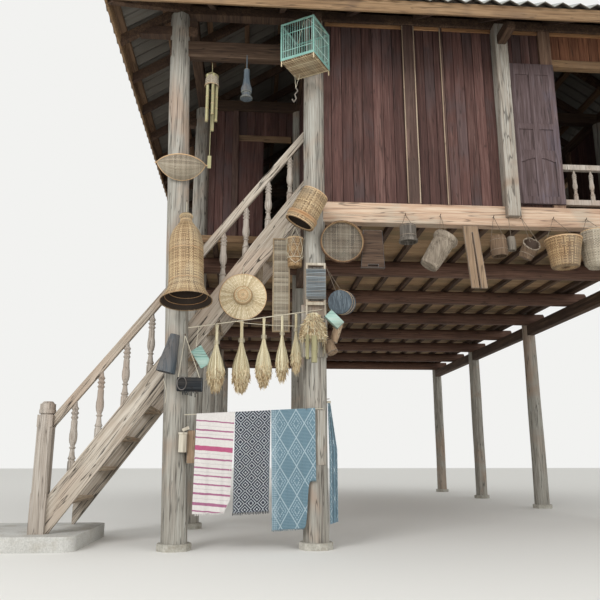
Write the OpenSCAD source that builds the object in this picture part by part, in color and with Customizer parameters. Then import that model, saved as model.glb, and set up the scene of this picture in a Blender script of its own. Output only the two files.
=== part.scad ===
/* [Plan] */
// Width of the stair bay, from the left columns to the second row
stair_bay = 1300; // [1250:10:1400]
// Width of the room, from the second row to the right columns
room_w = 4220; // [4100:10:4600]
// Depth of the gallery bay, from the front columns to the gallery wall
gallery_d = 1950; // [1900:10:2200]
// Depth of each bay behind the gallery wall
bay_d = 2950; // [2700:10:3200]
// Number of bays behind the gallery wall
bay_count = 3; // [2:1:4]

/* [Levels] */
// Height of the flat stone under each column
stone_h = 60; // [40:5:90]
// Top of the floor boards of the upper storey
floor_z = 3300; // [3200:10:3400]
// Height from the floor boards to the underside of the wall plates
storey_h = 2040; // [2000:10:2200]

/* [Columns] */
// Diameter of a log column at its foot
col_foot_d = 240; // [220:2:260]
// Diameter of a log column at its head
col_head_d = 200; // [190:2:220]
// Lean of the front left column, in degrees
left_lean = 1.72; // [1.2:0.02:2]
// How far the foot of that column stands inwards
left_foot_x = 45; // [30:1:60]
// Width across the flat stone under a column
stone_d = 310; // [280:5:340]

/* [Floor frame] */
// Depth of a bearer, which runs from front to back
bearer_h = 170; // [150:5:180]
// Width of a bearer
bearer_w = 120; // [100:5:130]
// Diameter of a girder log
girder_d = 200; // [190:2:210]
// Height of a girder log between its flattened top and bottom
girder_h = 180; // [170:2:184]
// Distance of a girder in front of its column row
girder_off = 150; // [140:1:160]
// How far the girder ends stand out past the side columns
girder_end = 200; // [150:5:250]
// Depth of a joist
joist_h = 58; // [50:1:70]
// Width of a joist
joist_w = 60; // [50:1:70]
// Spacing of the joists
joist_step = 360; // [330:5:400]
// Thickness of the floor boards
deck_t = 22; // [20:1:30]
// Depth of the front rim beam
rim_h = 212; // [190:1:220]
// Thickness of the front rim beam
rim_t = 120; // [110:1:130]
// Depth of the gallery floor, in front of the gallery wall
landing_d = 800; // [760:10:840]

/* [Walls] */
// Thickness of the wall planks
plank_t = 30; // [25:1:40]
// How far from a column's axis the planks end, in its groove
wall_seat = 75; // [65:1:80]
// Width of the sill under the side walls
sill_w = 100; // [90:1:110]
// Depth of that sill
sill_h = 80; // [70:1:90]
// Width of the flat stud in the front wall
stud_w = 130; // [110:1:140]
// Distance of that stud from the second column row
stud_x = 1015; // [950:5:1050]
// Width of the narrow batten on the front wall
batten_w = 32; // [26:1:40]
// Distance of that batten from the second column row
batten_x = 1380; // [1330:5:1420]
// Width of the post on the rim beam
post_w = 135; // [120:1:150]
// How far that post stands out in front of the rim beam
post_out = 85; // [60:1:100]
// How far the foot of the post laps down over the rim beam
post_lap = 130; // [100:1:150]
// How far studs, posts and jambs stand proud of the planks
proud = 30; // [24:1:40]

/* [Windows] */
// Clear width of a window
win_w = 1000; // [900:10:1020]
// Clear height of a window above the floor
win_h = 1610; // [1500:10:1650]
// Width of a window jamb
jamb_w = 130; // [100:1:150]
// Depth of the board over a window
lintel_h = 85; // [70:1:110]
// Thickness of a shutter leaf
leaf_t = 34; // [30:1:40]
// Depth of the panels cut in a shutter leaf
leaf_sunk = 14; // [10:1:16]
// Gap between the two leaves of a window when they are shut
leaf_gap = 8; // [6:1:12]
// Distance of a leaf's hinge edge from the opening's edge
hinge_gap = 12; // [8:1:20]
// Clearance between an open leaf and the post or column beside it
leaf_clear = 12; // [8:1:30]
// Clear width of the gallery doorway, with both leaves open
door_w = 700; // [660:10:760]
// Width of its closed left leaf
door_leaf_w = 330; // [300:5:340]
// Height of the rail across the foot of a window
guard_h = 474; // [440:2:500]
// Depth and width of the guard's rails
guard_rail = 56; // [44:1:60]
// Gap between the floor boards and the guard's lower rail
guard_lift = 27; // [20:1:40]
// Spacing of the small balusters in a window
guard_step = 180; // [160:1:190]

/* [Roof] */
// Pitch of the four roof slopes, in degrees
pitch = 33; // [31:0.5:35]
// How far the eaves stand out past the column rows
eave_over = 740; // [700:10:780]
// Depth of a wall plate
plate_h = 140; // [130:1:160]
// Width of a wall plate
plate_w = 120; // [110:1:130]
// Depth of the seat that a rafter is cut down over the plate
rafter_seat = 40; // [35:1:45]
// Depth of a rafter
rafter_h = 90; // [80:1:100]
// Width of a rafter
rafter_w = 55; // [50:1:60]
// Spacing of the rafters
rafter_step = 720; // [650:10:800]
// Depth of a hip rafter
hip_h = 130; // [120:1:140]
// Width of a hip rafter
hip_w = 70; // [60:1:80]
// Depth of the ridge beam
ridge_h = 160; // [150:1:180]
// Width of the ridge beam
ridge_w = 80; // [70:1:90]
// Thickness of a roof batten
batten_t = 30; // [25:1:35]
// Width of a roof batten
roof_batten_w = 70; // [60:1:80]
// Spacing of the roof battens along the slope, in plan
roof_batten_step = 420; // [380:10:460]
// Depth of the fascia board at the eaves
fascia_h = 130; // [120:1:140]
// Thickness of the fascia board
fascia_t = 25; // [20:1:30]
// Width of one wave of the roofing sheets
wave_w = 177; // [150:1:180]
// Depth of the waves
wave_h = 51; // [40:1:55]
// Thickness of the roofing sheets
sheet_t = 7; // [6:1:8]
// How far the sheets reach past the fascia
sheet_over = 45; // [30:1:60]
// Radius of the ridge and hip caps
cap_r = 120; // [110:1:140]
// Depth of the beams that reach out under the eaves
outrigger_h = 110; // [100:1:120]
// Width of those beams
outrigger_w = 90; // [80:1:100]
// How far those beams reach past the column rows
outrigger_reach = 420; // [380:5:450]
// Height of the underside of those beams above the floor
outrigger_up = 1790; // [1740:10:1820]
// Height of the underside of the tie beam over the stair, above the floor
stair_tie_up = 1550; // [1500:10:1600]
// Depth of that tie beam
stair_tie_h = 180; // [160:1:190]

/* [Stair] */
// Number of treads
tread_count = 10; // [9:1:11]
// Horizontal step from tread to tread
going = 214; // [210:1:220]
// Distance of the middle of the top tread from the second column row
top_tread_back = 385; // [370:1:400]
// Front to back width of a tread
tread_d = 205; // [195:1:212]
// Thickness of a tread
tread_t = 36; // [30:1:40]
// Depth of the stringer planks, square to the slope
stringer_d = 215; // [205:1:230]
// Thickness of the stringer planks
stringer_t = 50; // [45:1:55]
// Depth of the housings that take the tread ends
housing = 15; // [12:1:20]
// Front face of the front stringer, behind the front columns' axis
stringer_y = 140; // [135:1:150]
// Gap between the stair and the edge board of the gallery
stair_gap = 5; // [4:1:20]
// Height of the stringer's upper edge over the tread line
string_up = 180; // [172:1:190]
// Depth of the handrail, square to the slope
rail_d = 75; // [70:1:80]
// Thickness of the handrail
rail_t = 60; // [55:1:65]
// Vertical gap between the stringer and the handrail at the newel
rail_gap = 600; // [580:5:620]
// The same gap at the head of the stair
rail_gap_top = 425; // [400:5:470]
// Number of turned balusters
baluster_count = 10; // [8:1:10]
// Distance from the middle of the first baluster to the newel's axis
baluster_back = 250; // [230:5:270]
// Distance from baluster to baluster
baluster_step = 222; // [215:1:226]
// Largest diameter of a turned baluster
baluster_d = 74; // [66:1:78]
// Width of the newel post
newel_w = 138; // [120:1:150]
// Distance from the middle of the first tread to the newel's axis
newel_back = 172; // [165:1:190]
// Height of the newel over its plinth
newel_h = 1170; // [1150:5:1200]
// Height of the concrete plinth under the stair's foot
plinth_h = 130; // [120:1:140]
// How far the plinth reaches out beyond the newel
plinth_out = 690; // [600:10:750]
// How far the plinth reaches in front of the front stringer
plinth_front = 250; // [220:5:260]
// How far the plinth reaches behind the rear stringer
plinth_rear = 150; // [120:5:180]
// Radius of the plinth's rounded corners
plinth_corner = 120; // [90:5:140]

/* [Hung goods] */
// Diameter of the body of the fish trap
trap_d = 320; // [290:5:330]
// Length of the fish trap
trap_l = 880; // [820:10:920]
// Diameter of the straw hat
hat_d = 470; // [420:5:500]
// Diameter of the round sieve
sieve_d = 425; // [400:5:440]
// Depth of the sieve's rim
sieve_rim = 46; // [35:1:60]
// Side of the bird cage
cage_w = 365; // [340:5:380]
// Height of the bird cage
cage_h = 410; // [380:10:430]
// Thickness of the cage's frame
cage_bar = 14; // [10:1:18]
// Height of the largest hung pot; the other small goods and their places follow it
ware_h = 360; // [340:5:380]
// Wall of baskets, pots and bells
ware_t = 9; // [7:1:11]
// Length of the boat shaped tray
tray_l = 480; // [440:10:500]
// Width of the boat shaped tray
tray_w = 290; // [260:10:300]
// Length of the reed panel
reed_h = 960; // [900:10:1000]
// Width of the reed panel
reed_w = 172; // [150:2:190]
// Thickness of the reed panel
reed_t = 18; // [12:1:22]
// Length of the longest sheaf of grain
sheaf_l = 640; // [600:10:680]
// Diameter of the two lines
line_d = 10; // [8:1:14]
// Height of the sheaf line at the stair's head column
sheaf_line_z = 2146; // [2120:2:2180]
// Height of the sheaf line at the left column
sheaf_line_z0 = 1952; // [1900:2:1980]
// Height of the cloth line at the stair's head column
cloth_line_z = 1225; // [1180:5:1260]
// Height of the cloth line at the left column
cloth_line_z0 = 1162; // [1120:2:1200]
// Length of the longest cloth
cloth_l = 1030; // [980:10:1060]
// Thickness of a folded cloth on its line
cloth_t = 14; // [12:1:20]
// Gap between hung goods and what carries them
hang_gap = 4; // [3:1:10]

/* [Hidden] */
$fn = 48;

// Colours as weathered wood shows them
log_grey = "#8a8c84";
beam_tan = "#a86a4c";
beam_dark = "#4a352a";
plank_brown = "#4a2e2c";
trim_brown = "#7a6046";
stair_grey = "#9c9082";
sheet_grey = "#8f938f";
stone_grey = "#a5a39a";
wicker_tan = "#a8875c";
straw_pale = "#d8c8a0";
pot_grey = "#6e6a62";
cage_green = "#7fa79c";
cloth_white = "#dcdad2";

// Column rows
row_x = [0, stair_bay, stair_bay + room_w];
house_w = row_x[2];
row_y = [0, gallery_d, for (k = [1 : bay_count]) gallery_d + k * bay_d];
last_row = bay_count + 1;
house_d = row_y[last_row];

// Levels, from the floor boards down and up
joist_top = floor_z - deck_t;
girder_top = joist_top - joist_h;
girder_bottom = girder_top - girder_h;
bearer_bottom = girder_bottom - bearer_h;
rim_bottom = joist_top - rim_h;
plate_bottom = floor_z + storey_h;
plate_top = plate_bottom + plate_h;
slack = 2;
big = 20000;

// Roof planes, measured in plan from the eaves
slope = tan(pitch);
half_span = house_w / 2 + eave_over;
rafter_bottom = plate_top - rafter_seat - eave_over * slope;
rafter_top = rafter_bottom + rafter_h / cos(pitch);
batten_top = rafter_top + batten_t / cos(pitch);
ridge_y0 = half_span - eave_over;
ridge_y1 = house_d + eave_over - half_span;

// Stair lines
rise = (floor_z - plinth_h) / (tread_count + 1);
stair_slope = rise / going;
stair_angle = atan(stair_slope);
top_tread_x = stair_bay - top_tread_back;
first_tread_x = top_tread_x - (tread_count - 1) * going;
stringer_drop = stringer_d / cos(stair_angle);
rail_drop = rail_d / cos(stair_angle);
stair_mid_y = stringer_y + stringer_t / 2;
stair_w = gallery_d - landing_d - fascia_t - stair_gap - stringer_y;
newel_x = first_tread_x - newel_back;
head_beam_w = bearer_w;
head_beam_x = stair_bay - head_beam_w / 2;

// Places along the front wall
leaf_w = (win_w - leaf_gap) / 2;
leaf_reach = win_w / 2 + hinge_gap + leaf_w + leaf_clear;
front_window_x = house_w - col_foot_d / 2 + (hinge_gap + leaf_clear) / 2 - leaf_reach;
post_axis = front_window_x - leaf_reach - post_w / 2;
stud_axis = stair_bay + stud_x;
win_head_z = floor_z + win_h;

function girder_ys() = [for (k = [0 : bay_count * 2]) gallery_d - girder_off + k * bay_d / 2];

// A box from its low corner to its high corner
module block(low, high) {
    translate(low) cube(high - low);
}

// Log column on the ground stone, at one crossing of the rows
module log_column() {
    translate([0, 0, stone_h])
        cylinder(h = plate_bottom - stone_h, d1 = col_foot_d, d2 = col_head_d);
}

// The front left column leans: its head stands further out than its foot
module leaning_column() {
    head_x = left_foot_x - (plate_bottom - stone_h) * tan(left_lean);
    hull() {
        translate([left_foot_x, 0, stone_h]) cylinder(h = 1, d = col_foot_d, $fn = 32);
        translate([head_x, 0, plate_bottom - 1]) cylinder(h = 1, d = col_head_d, $fn = 32);
    }
}

// Places of the columns behind the front row
function back_columns() = concat(
    [for (k = [1 : last_row]) [row_x[0], row_y[k]]],
    [[row_x[1], row_y[1]]],
    [for (k = [1 : last_row]) [row_x[2], row_y[k]]]);

// Each flat stone is turned a little from the one before
stone_turn = 25;
stone_sides = 9;
module column_footings() {
    places = concat([[left_foot_x, 0], [row_x[1], 0], [row_x[2], 0]], back_columns());
    color(stone_grey) for (k = [0 : len(places) - 1])
        translate([places[k][0], places[k][1], 0]) rotate([0, 0, k * stone_turn])
            cylinder(h = stone_h, d = stone_d, $fn = stone_sides);
}

module front_left_column() {
    color(log_grey) difference() {
        intersection() {
            leaning_column();
            under_roof();
        }
        stair_bay_tie();
        on_side("left") outrigger(outrigger_reach + col_head_d);
        hip_rafters();
    }
}

module stair_head_column() {
    color(log_grey) difference() {
        translate([row_x[1], 0, 0]) log_column();
        floor_bearers();
        front_rim_beam();
        stair_bay_tie();
        eave_outriggers();
        cross_wall();
        front_wall();
        stair_head_beam();
    }
}

module front_right_column() {
    color(log_grey) difference() {
        translate([row_x[2], 0, 0]) log_column();
        floor_bearers();
        front_rim_beam();
        eave_outriggers();
        front_wall();
        right_wall();
        wall_sills();
    }
}

module house_columns() {
    color(log_grey) difference() {
        for (p = back_columns()) translate([p[0], p[1], 0]) log_column();
        floor_bearers();
        floor_girders();
        wall_sills();
        left_wall();
        right_wall();
        rear_wall();
        cross_wall();
        gallery_wall();
        eave_outriggers();
        stair_head_beam();
    }
}

// Bearers run from front to back through the columns
module floor_bearers() {
    color(beam_dark) {
        block([-bearer_w / 2, gallery_d - landing_d - slack, bearer_bottom],
            [bearer_w / 2, house_d + girder_end, girder_bottom]);
        block([row_x[1] - bearer_w / 2, -rim_t / 2, bearer_bottom],
            [row_x[1] + bearer_w / 2, gallery_d + girder_end, girder_bottom]);
        block([house_w - bearer_w / 2, -rim_t / 2, bearer_bottom],
            [house_w + bearer_w / 2, house_d + girder_end, girder_bottom]);
    }
}

// A log along X with its top and bottom hewn flat
module girder_log() {
    intersection() {
        translate([-girder_end, 0, girder_bottom + girder_h / 2]) rotate([0, 90, 0])
            cylinder(h = house_w + 2 * girder_end, d = girder_d);
        block([-big, -girder_d, girder_bottom], [big, girder_d, girder_top]);
    }
}

module floor_girders() {
    color(beam_dark) for (y = girder_ys()) translate([0, y, 0]) girder_log();
}

// Joists run from front to back over the girders
module joist_row(x0, x1, y0) {
    bays = round((x1 - x0) / joist_step);
    for (k = [0 : bays]) {
        x = x0 + k * (x1 - x0) / bays;
        block([x - joist_w / 2, y0, girder_top],
            [x + joist_w / 2, house_d - sill_w / 2 - slack, joist_top]);
    }
}

module floor_joists() {
    color(beam_dark) {
        joist_row(col_foot_d, stair_bay - col_foot_d, gallery_d - landing_d);
        joist_row(stair_bay + col_foot_d * 0.75, house_w - col_foot_d * 0.75, rim_t / 6);
    }
}

module front_rim_beam() {
    color(beam_tan) difference() {
        block([row_x[1] + rim_t / 3, -rim_t / 2, rim_bottom],
            [house_w + girder_end, rim_t / 2, joist_top]);
        floor_joists();
        front_post();
    }
}

// The beam under the cross wall takes the head of the stair
module stair_head_beam() {
    color(beam_dark) difference() {
        block([head_beam_x, col_foot_d / 3, girder_bottom],
            [head_beam_x + head_beam_w, gallery_d - col_foot_d / 3, floor_z]);
        floor_girders();
        front_rim_beam();
    }
}

module sill_run(y0, y1) {
    block([-sill_w / 2, y0 + wall_seat, floor_z - sill_h],
        [sill_w / 2, y1 - wall_seat, floor_z]);
}

module wall_sills() {
    color(beam_dark) {
        for (k = [1 : bay_count]) {
            sill_run(row_y[k], row_y[k + 1]);
            translate([house_w, 0, 0]) sill_run(row_y[k], row_y[k + 1]);
        }
        difference() {
            translate([house_w, 0, 0]) sill_run(row_y[0], row_y[1]);
            front_rim_beam();
        }
        block([wall_seat, house_d - sill_w / 2, floor_z - sill_h],
            [house_w - wall_seat, house_d + sill_w / 2, floor_z]);
    }
}

// Slab of floor boards, cut round the columns
module deck(low, high) {
    difference() {
        block([low[0], low[1], joist_top], [high[0], high[1], floor_z]);
        for (x = row_x, y = row_y)
            translate([x, y, joist_top - deck_t]) cylinder(h = 3 * deck_t, d = col_foot_d + slack);
    }
}

module floor_boards() {
    color(trim_brown) {
        deck([sill_w / 2, gallery_d - plank_t / 2], [house_w - sill_w / 2, house_d - sill_w / 2]);
        deck([head_beam_x + head_beam_w, plank_t / 2 + proud],
            [house_w - sill_w / 2, gallery_d - plank_t / 2 - slack]);
    }
}

module gallery_floor() {
    color(trim_brown)
        deck([-sill_w / 2, gallery_d - landing_d], [head_beam_x, gallery_d - plank_t / 2]);
}

module gallery_edge_board() {
    color(trim_brown)
        block([-sill_w / 2, gallery_d - landing_d - fascia_t, girder_top - slack],
            [head_beam_x, gallery_d - landing_d, floor_z]);
}

// Walls are drawn along +X with their outer face towards -Y, then put on a side of the house
module on_side(side) {
    if (side == "front") children();
    if (side == "left") rotate([0, 0, 90]) mirror([0, 1, 0]) children();
    if (side == "right") translate([house_w, 0, 0]) rotate([0, 0, 90]) children();
    if (side == "rear") translate([0, house_d, 0]) mirror([0, 1, 0]) children();
}

// Side and middle of every window
window_places = concat(
    [["front", front_window_x]],
    [for (k = [1 : 2 : bay_count]) ["left", (row_y[k] + row_y[k + 1]) / 2]],
    [for (k = [1 : 2 : bay_count]) ["right", (row_y[k] + row_y[k + 1]) / 2]],
    [["rear", house_w / 2]]);

module panel(x0, x1, z0, z1) {
    block([x0, -plank_t / 2, z0], [x1, plank_t / 2, z1]);
}

// Planks beside and over one window, from x0 to x1
module planks_round_window(x0, x1, middle, foot) {
    panel(x0, middle - win_w / 2 - jamb_w, foot, plate_bottom);
    panel(middle + win_w / 2 + jamb_w, x1, foot, plate_bottom);
    panel(middle - win_w / 2, middle + win_w / 2, win_head_z + lintel_h, plate_bottom);
}

module front_wall() {
    color(plank_brown) {
        panel(stair_bay + wall_seat, stud_axis - stud_w / 2, joist_top, plate_bottom);
        panel(stud_axis + stud_w / 2, post_axis - post_w / 2, joist_top, plate_bottom);
        planks_round_window(post_axis + post_w / 2, house_w - wall_seat, front_window_x, joist_top);
    }
}

// Wall of a long side: windows in every second bay behind the gallery
module long_wall() {
    for (k = [1 : bay_count])
        if (k % 2 == 1)
            planks_round_window(row_y[k] + wall_seat, row_y[k + 1] - wall_seat,
                (row_y[k] + row_y[k + 1]) / 2, floor_z);
        else
            panel(row_y[k] + wall_seat, row_y[k + 1] - wall_seat, floor_z, plate_bottom);
}

module left_wall() {
    color(plank_brown) on_side("left") long_wall();
}

module right_wall() {
    color(plank_brown) on_side("right") {
        panel(wall_seat, gallery_d - wall_seat, floor_z, plate_bottom);
        long_wall();
    }
}

module rear_wall() {
    color(plank_brown) on_side("rear") {
        panel(wall_seat, stair_bay - stud_w / 2, floor_z, plate_bottom);
        planks_round_window(stair_bay + stud_w / 2, house_w - stair_bay - stud_w / 2,
            house_w / 2, floor_z);
        panel(house_w - stair_bay + stud_w / 2, house_w - wall_seat, floor_z, plate_bottom);
    }
}

module cross_wall() {
    color(plank_brown)
        block([stair_bay - plank_t / 2, wall_seat, floor_z],
            [stair_bay + plank_t / 2, gallery_d - wall_seat, plate_bottom]);
}

// The gallery wall has a doorway beside the corner column
door_post_w = 80;
door_x = stair_bay - col_foot_d / 2 - door_w - door_post_w / 2;

module gallery_wall() {
    color(plank_brown) translate([0, gallery_d, 0]) {
        panel(wall_seat, door_x - door_post_w / 2, floor_z, plate_bottom);
        panel(door_x + door_post_w / 2, stair_bay - wall_seat, win_head_z + lintel_h, plate_bottom);
    }
}

module gallery_door_leaf() {
    color(plank_brown) translate([0, gallery_d, 0])
        block([door_x + door_post_w / 2, -leaf_t / 2, floor_z + slack],
            [door_x + door_post_w / 2 + door_leaf_w, leaf_t / 2, win_head_z]);
}

module stud(x, w) {
    block([x - w / 2, -plank_t / 2 - proud, floor_z], [x + w / 2, plank_t / 2, plate_bottom]);
}

module wall_studs() {
    color(trim_brown) {
        block([stud_axis - stud_w / 2, -plank_t / 2 - proud, joist_top],
            [stud_axis + stud_w / 2, plank_t / 2, plate_bottom]);
        block([stair_bay + batten_x - batten_w / 2, -plank_t / 2 - proud / 2, joist_top],
            [stair_bay + batten_x + batten_w / 2, -plank_t / 2, plate_bottom]);
        on_side("rear") {
            stud(stair_bay, stud_w);
            stud(house_w - stair_bay, stud_w);
        }
        translate([0, gallery_d, 0]) stud(door_x, door_post_w);
    }
}

// Post of the front wall, its foot lapped over the face of the rim beam
module front_post() {
    face = -rim_t / 2 - post_out;
    color(log_grey) difference() {
        block([post_axis - post_w / 2, face, joist_top - post_lap],
            [post_axis + post_w / 2, plank_t / 2 + proud, plate_bottom]);
        block([post_axis - post_w, -rim_t / 2, joist_top - post_lap - slack],
            [post_axis + post_w, rim_t, joist_top]);
        translate([post_axis - post_w, face, joist_top - post_lap])
            rotate([-45, 0, 0]) mirror([0, 0, 1]) cube([2 * post_w, post_w, post_w]);
        eave_outriggers();
    }
}

// Two jambs of full height beside a window
module jamb_pair(middle, foot) {
    for (side = [-1, 1])
        block([middle + side * (win_w + jamb_w) / 2 - jamb_w / 2, -plank_t / 2 - proud, foot],
            [middle + side * (win_w + jamb_w) / 2 + jamb_w / 2, plank_t / 2 + proud,
                plate_bottom]);
}

module window_jambs() {
    color(trim_brown) for (w = window_places)
        on_side(w[0]) jamb_pair(w[1], w[0] == "front" ? joist_top : floor_z);
}

// Boards over the windows and over the gallery doorway
module window_lintels() {
    color(trim_brown) {
        for (w = window_places)
            on_side(w[0]) block([w[1] - win_w / 2, -plank_t / 2 - proud, win_head_z],
                [w[1] + win_w / 2, plank_t / 2 + proud, win_head_z + lintel_h]);
        translate([0, gallery_d, 0])
            block([door_x + door_post_w / 2, -leaf_t / 2, win_head_z],
                [stair_bay - col_foot_d / 2, leaf_t / 2, win_head_z + lintel_h]);
    }
}

// Turned profile, as radii along a unit height, for every baluster
turning = [
    [0.00, 0.92], [0.15, 0.92], [0.17, 0.70], [0.19, 1.00], [0.22, 0.72], [0.31, 0.52],
    [0.33, 0.84], [0.35, 0.50], [0.40, 0.86], [0.45, 1.00], [0.51, 0.98], [0.58, 0.80],
    [0.68, 0.78], [0.70, 0.62], [0.73, 0.94], [0.76, 0.62], [0.79, 1.00], [0.82, 0.62],
    [0.85, 0.92], [0.88, 0.58], [0.94, 0.42], [1.00, 0.34]
];

module turned_baluster(h, d, sides = 24) {
    rotate_extrude($fn = sides)
        polygon(concat([[0, 0]], [for (p = turning) [p[1] * d / 2, p[0] * h]], [[0, h]]));
}

// Low guard across the foot of a window: two rails and turned balusters
module window_guard(middle) {
    count = floor(win_w / guard_step) - 1;
    foot = floor_z + guard_lift;
    low = foot + guard_rail;
    high = floor_z + guard_h - guard_rail;
    block([middle - win_w / 2, -guard_rail / 2, foot],
        [middle + win_w / 2, guard_rail / 2, low]);
    block([middle - win_w / 2, -guard_rail / 2, high],
        [middle + win_w / 2, guard_rail / 2, high + guard_rail]);
    for (k = [0 : count])
        translate([middle + (k - count / 2) * guard_step, 0, low])
            turned_baluster(high - low, guard_rail * 0.9);
}

module window_balustrades() {
    color(stair_grey) for (w = window_places) on_side(w[0]) window_guard(w[1]);
}

// Shutter leaf, lying flat on the wall, hinge edge at x = 0 and opening towards +X
leaf_foot = 10;
leaf_h = win_h - leaf_foot;
leaf_stile = 66;
leaf_rail = 72;
panel_w = (leaf_w - 3 * leaf_stile) / 2;
// Feet and heads of the three rows of panels, as shares of the leaf's height
panel_rows = [[0.05, 0.29], [0.37, 0.52], [0.56, 0.92]];

// Sunk panels of a leaf: long ones under a shared arch, small ones, and long ones at the top
module leaf_panels() {
    arch_r = leaf_w * 0.62;
    for (row = panel_rows, x = [leaf_stile, leaf_stile * 2 + panel_w])
        translate([x, -leaf_sunk, row[0] * leaf_h])
            cube([panel_w, 2 * leaf_sunk, (row[1] - row[0]) * leaf_h]);
    intersection() {
        translate([leaf_w / 2, 0, panel_rows[0][1] * leaf_h + leaf_rail * 0.6 - arch_r])
            rotate([90, 0, 0]) cylinder(h = 2 * leaf_sunk, r = arch_r, center = true);
        for (x = [leaf_stile, leaf_stile * 2 + panel_w])
            translate([x, -leaf_sunk, panel_rows[0][1] * leaf_h - slack])
                cube([panel_w, 2 * leaf_sunk, leaf_rail]);
    }
}

module shutter_leaf() {
    difference() {
        cube([leaf_w, leaf_t, leaf_h]);
        leaf_panels();
    }
}

module shutter_pair(middle) {
    y = -plank_t / 2 - proud - leaf_t;
    for (side = [-1, 1])
        translate([middle, y, floor_z + leaf_foot]) mirror([side < 0 ? 1 : 0, 0, 0])
            translate([win_w / 2 + hinge_gap, 0, 0]) shutter_leaf();
}

module shutters() {
    color(plank_brown) for (w = window_places) on_side(w[0]) shutter_pair(w[1]);
}

// Rail along the head of the front planks, between studs and posts
top_rail_h = 40;
module top_rail(x0, x1) {
    block([x0, -plank_t / 2 - proud / 2, plate_bottom - top_rail_h],
        [x1, -plank_t / 2, plate_bottom]);
}

module top_rails() {
    left_jamb = front_window_x - win_w / 2 - jamb_w;
    right_jamb = front_window_x + win_w / 2 + jamb_w;
    color(trim_brown) {
        top_rail(stair_bay + col_foot_d / 2, stud_axis - stud_w / 2);
        top_rail(stud_axis + stud_w / 2, stair_bay + batten_x - batten_w / 2);
        top_rail(stair_bay + batten_x + batten_w / 2, post_axis - post_w / 2);
        top_rail(post_axis + post_w / 2, left_jamb);
        top_rail(left_jamb + jamb_w, right_jamb - jamb_w);
        top_rail(right_jamb, house_w - col_foot_d / 2);
    }
}

// Space under the rafters of the hipped roof
module under_roof() {
    intersection() {
        translate([0, big, 0]) rotate([90, 0, 0]) linear_extrude(2 * big)
            roof_outline(house_w / 2);
        translate([0, house_d / 2, 0]) rotate([90, 0, 90])
            translate([0, 0, -big / 2]) linear_extrude(2 * big) roof_outline(0);
    }
}

module roof_outline(x) {
    reach = house_d / 2 + eave_over;
    span = x == 0 ? reach : half_span;
    polygon([[x - span, 0], [x - span, rafter_bottom], [x, rafter_bottom + span * slope],
        [x + span, rafter_bottom], [x + span, 0]]);
}

module wall_plates() {
    plate_end = plate_w * 1.5;
    color(beam_dark) {
        for (y = [0, house_d]) intersection() {
            block([-plate_end, y - plate_w / 2, plate_bottom],
                [house_w + plate_end, y + plate_w / 2, plate_top]);
            under_plate_level();
        }
        for (x = [0, house_w])
            block([x - plate_w / 2, plate_w / 2 + slack, plate_bottom],
                [x + plate_w / 2, house_d - plate_w / 2 - slack, plate_top]);
        block([stair_bay - plate_w / 2, plate_w / 2 + slack, plate_bottom],
            [stair_bay + plate_w / 2, gallery_d - plate_w / 2 - slack, plate_top]);
    }
}

// Same space, raised to the rafter tops: plates stay clear of the battens
module under_plate_level() {
    translate([0, 0, rafter_seat]) under_roof();
}

module stair_bay_tie() {
    z = floor_z + stair_tie_up;
    color(beam_dark)
        block([-col_head_d, -plate_w / 2.4, z],
            [stair_bay - outrigger_w / 2 - slack, plate_w / 2.4, z + stair_tie_h]);
}

ridge_top = rafter_bottom + half_span * slope;
module ridge_beam() {
    color(beam_dark)
        block([house_w / 2 - ridge_w / 2, ridge_y0, ridge_top - ridge_h],
            [house_w / 2 + ridge_w / 2, ridge_y1, ridge_top]);
}

module king_post(y) {
    block([house_w / 2 - ridge_w / 2, y - ridge_w / 2, plate_top - slack],
        [house_w / 2 + ridge_w / 2, y + ridge_w / 2, ridge_top - ridge_h]);
}

// A tie beam at each inner row, with a post up to the ridge where that row lies under it
module tie_beams() {
    color(beam_dark) for (k = [1 : bay_count]) {
        block([plate_w / 2, row_y[k] - plate_w / 2, plate_bottom],
            [house_w - plate_w / 2, row_y[k] + plate_w / 2, plate_top]);
        if (row_y[k] > ridge_y0 && row_y[k] < ridge_y1) king_post(row_y[k]);
    }
}

// Beams that reach out under the eaves from the column heads
outrigger_z = floor_z + outrigger_up;
module outrigger(reach) {
    block([-outrigger_w / 2, -reach, outrigger_z],
        [outrigger_w / 2, wall_seat, outrigger_z + outrigger_h]);
}

module eave_outriggers() {
    color(beam_dark) intersection() {
        union() {
            for (x = [stair_bay, post_axis, house_w])
                translate([x, 0, 0]) outrigger(outrigger_reach);
            on_side("rear") for (x = [0, house_w]) translate([x, 0, 0]) outrigger(outrigger_reach);
            on_side("left") outrigger(outrigger_reach + col_head_d / 2);
            for (k = [1 : last_row - 1]) {
                on_side("left") translate([row_y[k], 0, 0]) outrigger(outrigger_reach);
                on_side("right") translate([row_y[k], 0, 0]) outrigger(outrigger_reach);
            }
        }
        under_roof();
    }
}

// One slope lies over a plan region, t is measured in plan from its eaves
module slope_profile(t0, t1, z0, h) {
    polygon([[t0, z0 + t0 * slope], [t1, z0 + t1 * slope],
        [t1, z0 + t1 * slope + h], [t0, z0 + t0 * slope + h]]);
}

// Strip of a slope, t0 to t1 up it and u0 to u1 along the eaves
module slope_strip(u0, u1, t0, t1, z0, h) {
    translate([u0, 0, 0]) rotate([90, 0, 90]) linear_extrude(u1 - u0)
        slope_profile(t0, t1, z0, h);
}

// Plan region of an end slope, drawn with its eaves along X from 0
module end_region(gap, reach = 0) {
    w = 2 * half_span;
    polygon([[gap - reach, -reach], [w - gap + reach, -reach], [half_span, half_span - gap]]);
}

// Plan region of a side slope, drawn with its eaves along X from 0
module side_region(gap, reach = 0) {
    w = house_d + 2 * eave_over;
    polygon([[gap - reach, -reach], [w - gap + reach, -reach],
        [w - half_span - gap, half_span], [half_span + gap, half_span]]);
}

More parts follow.
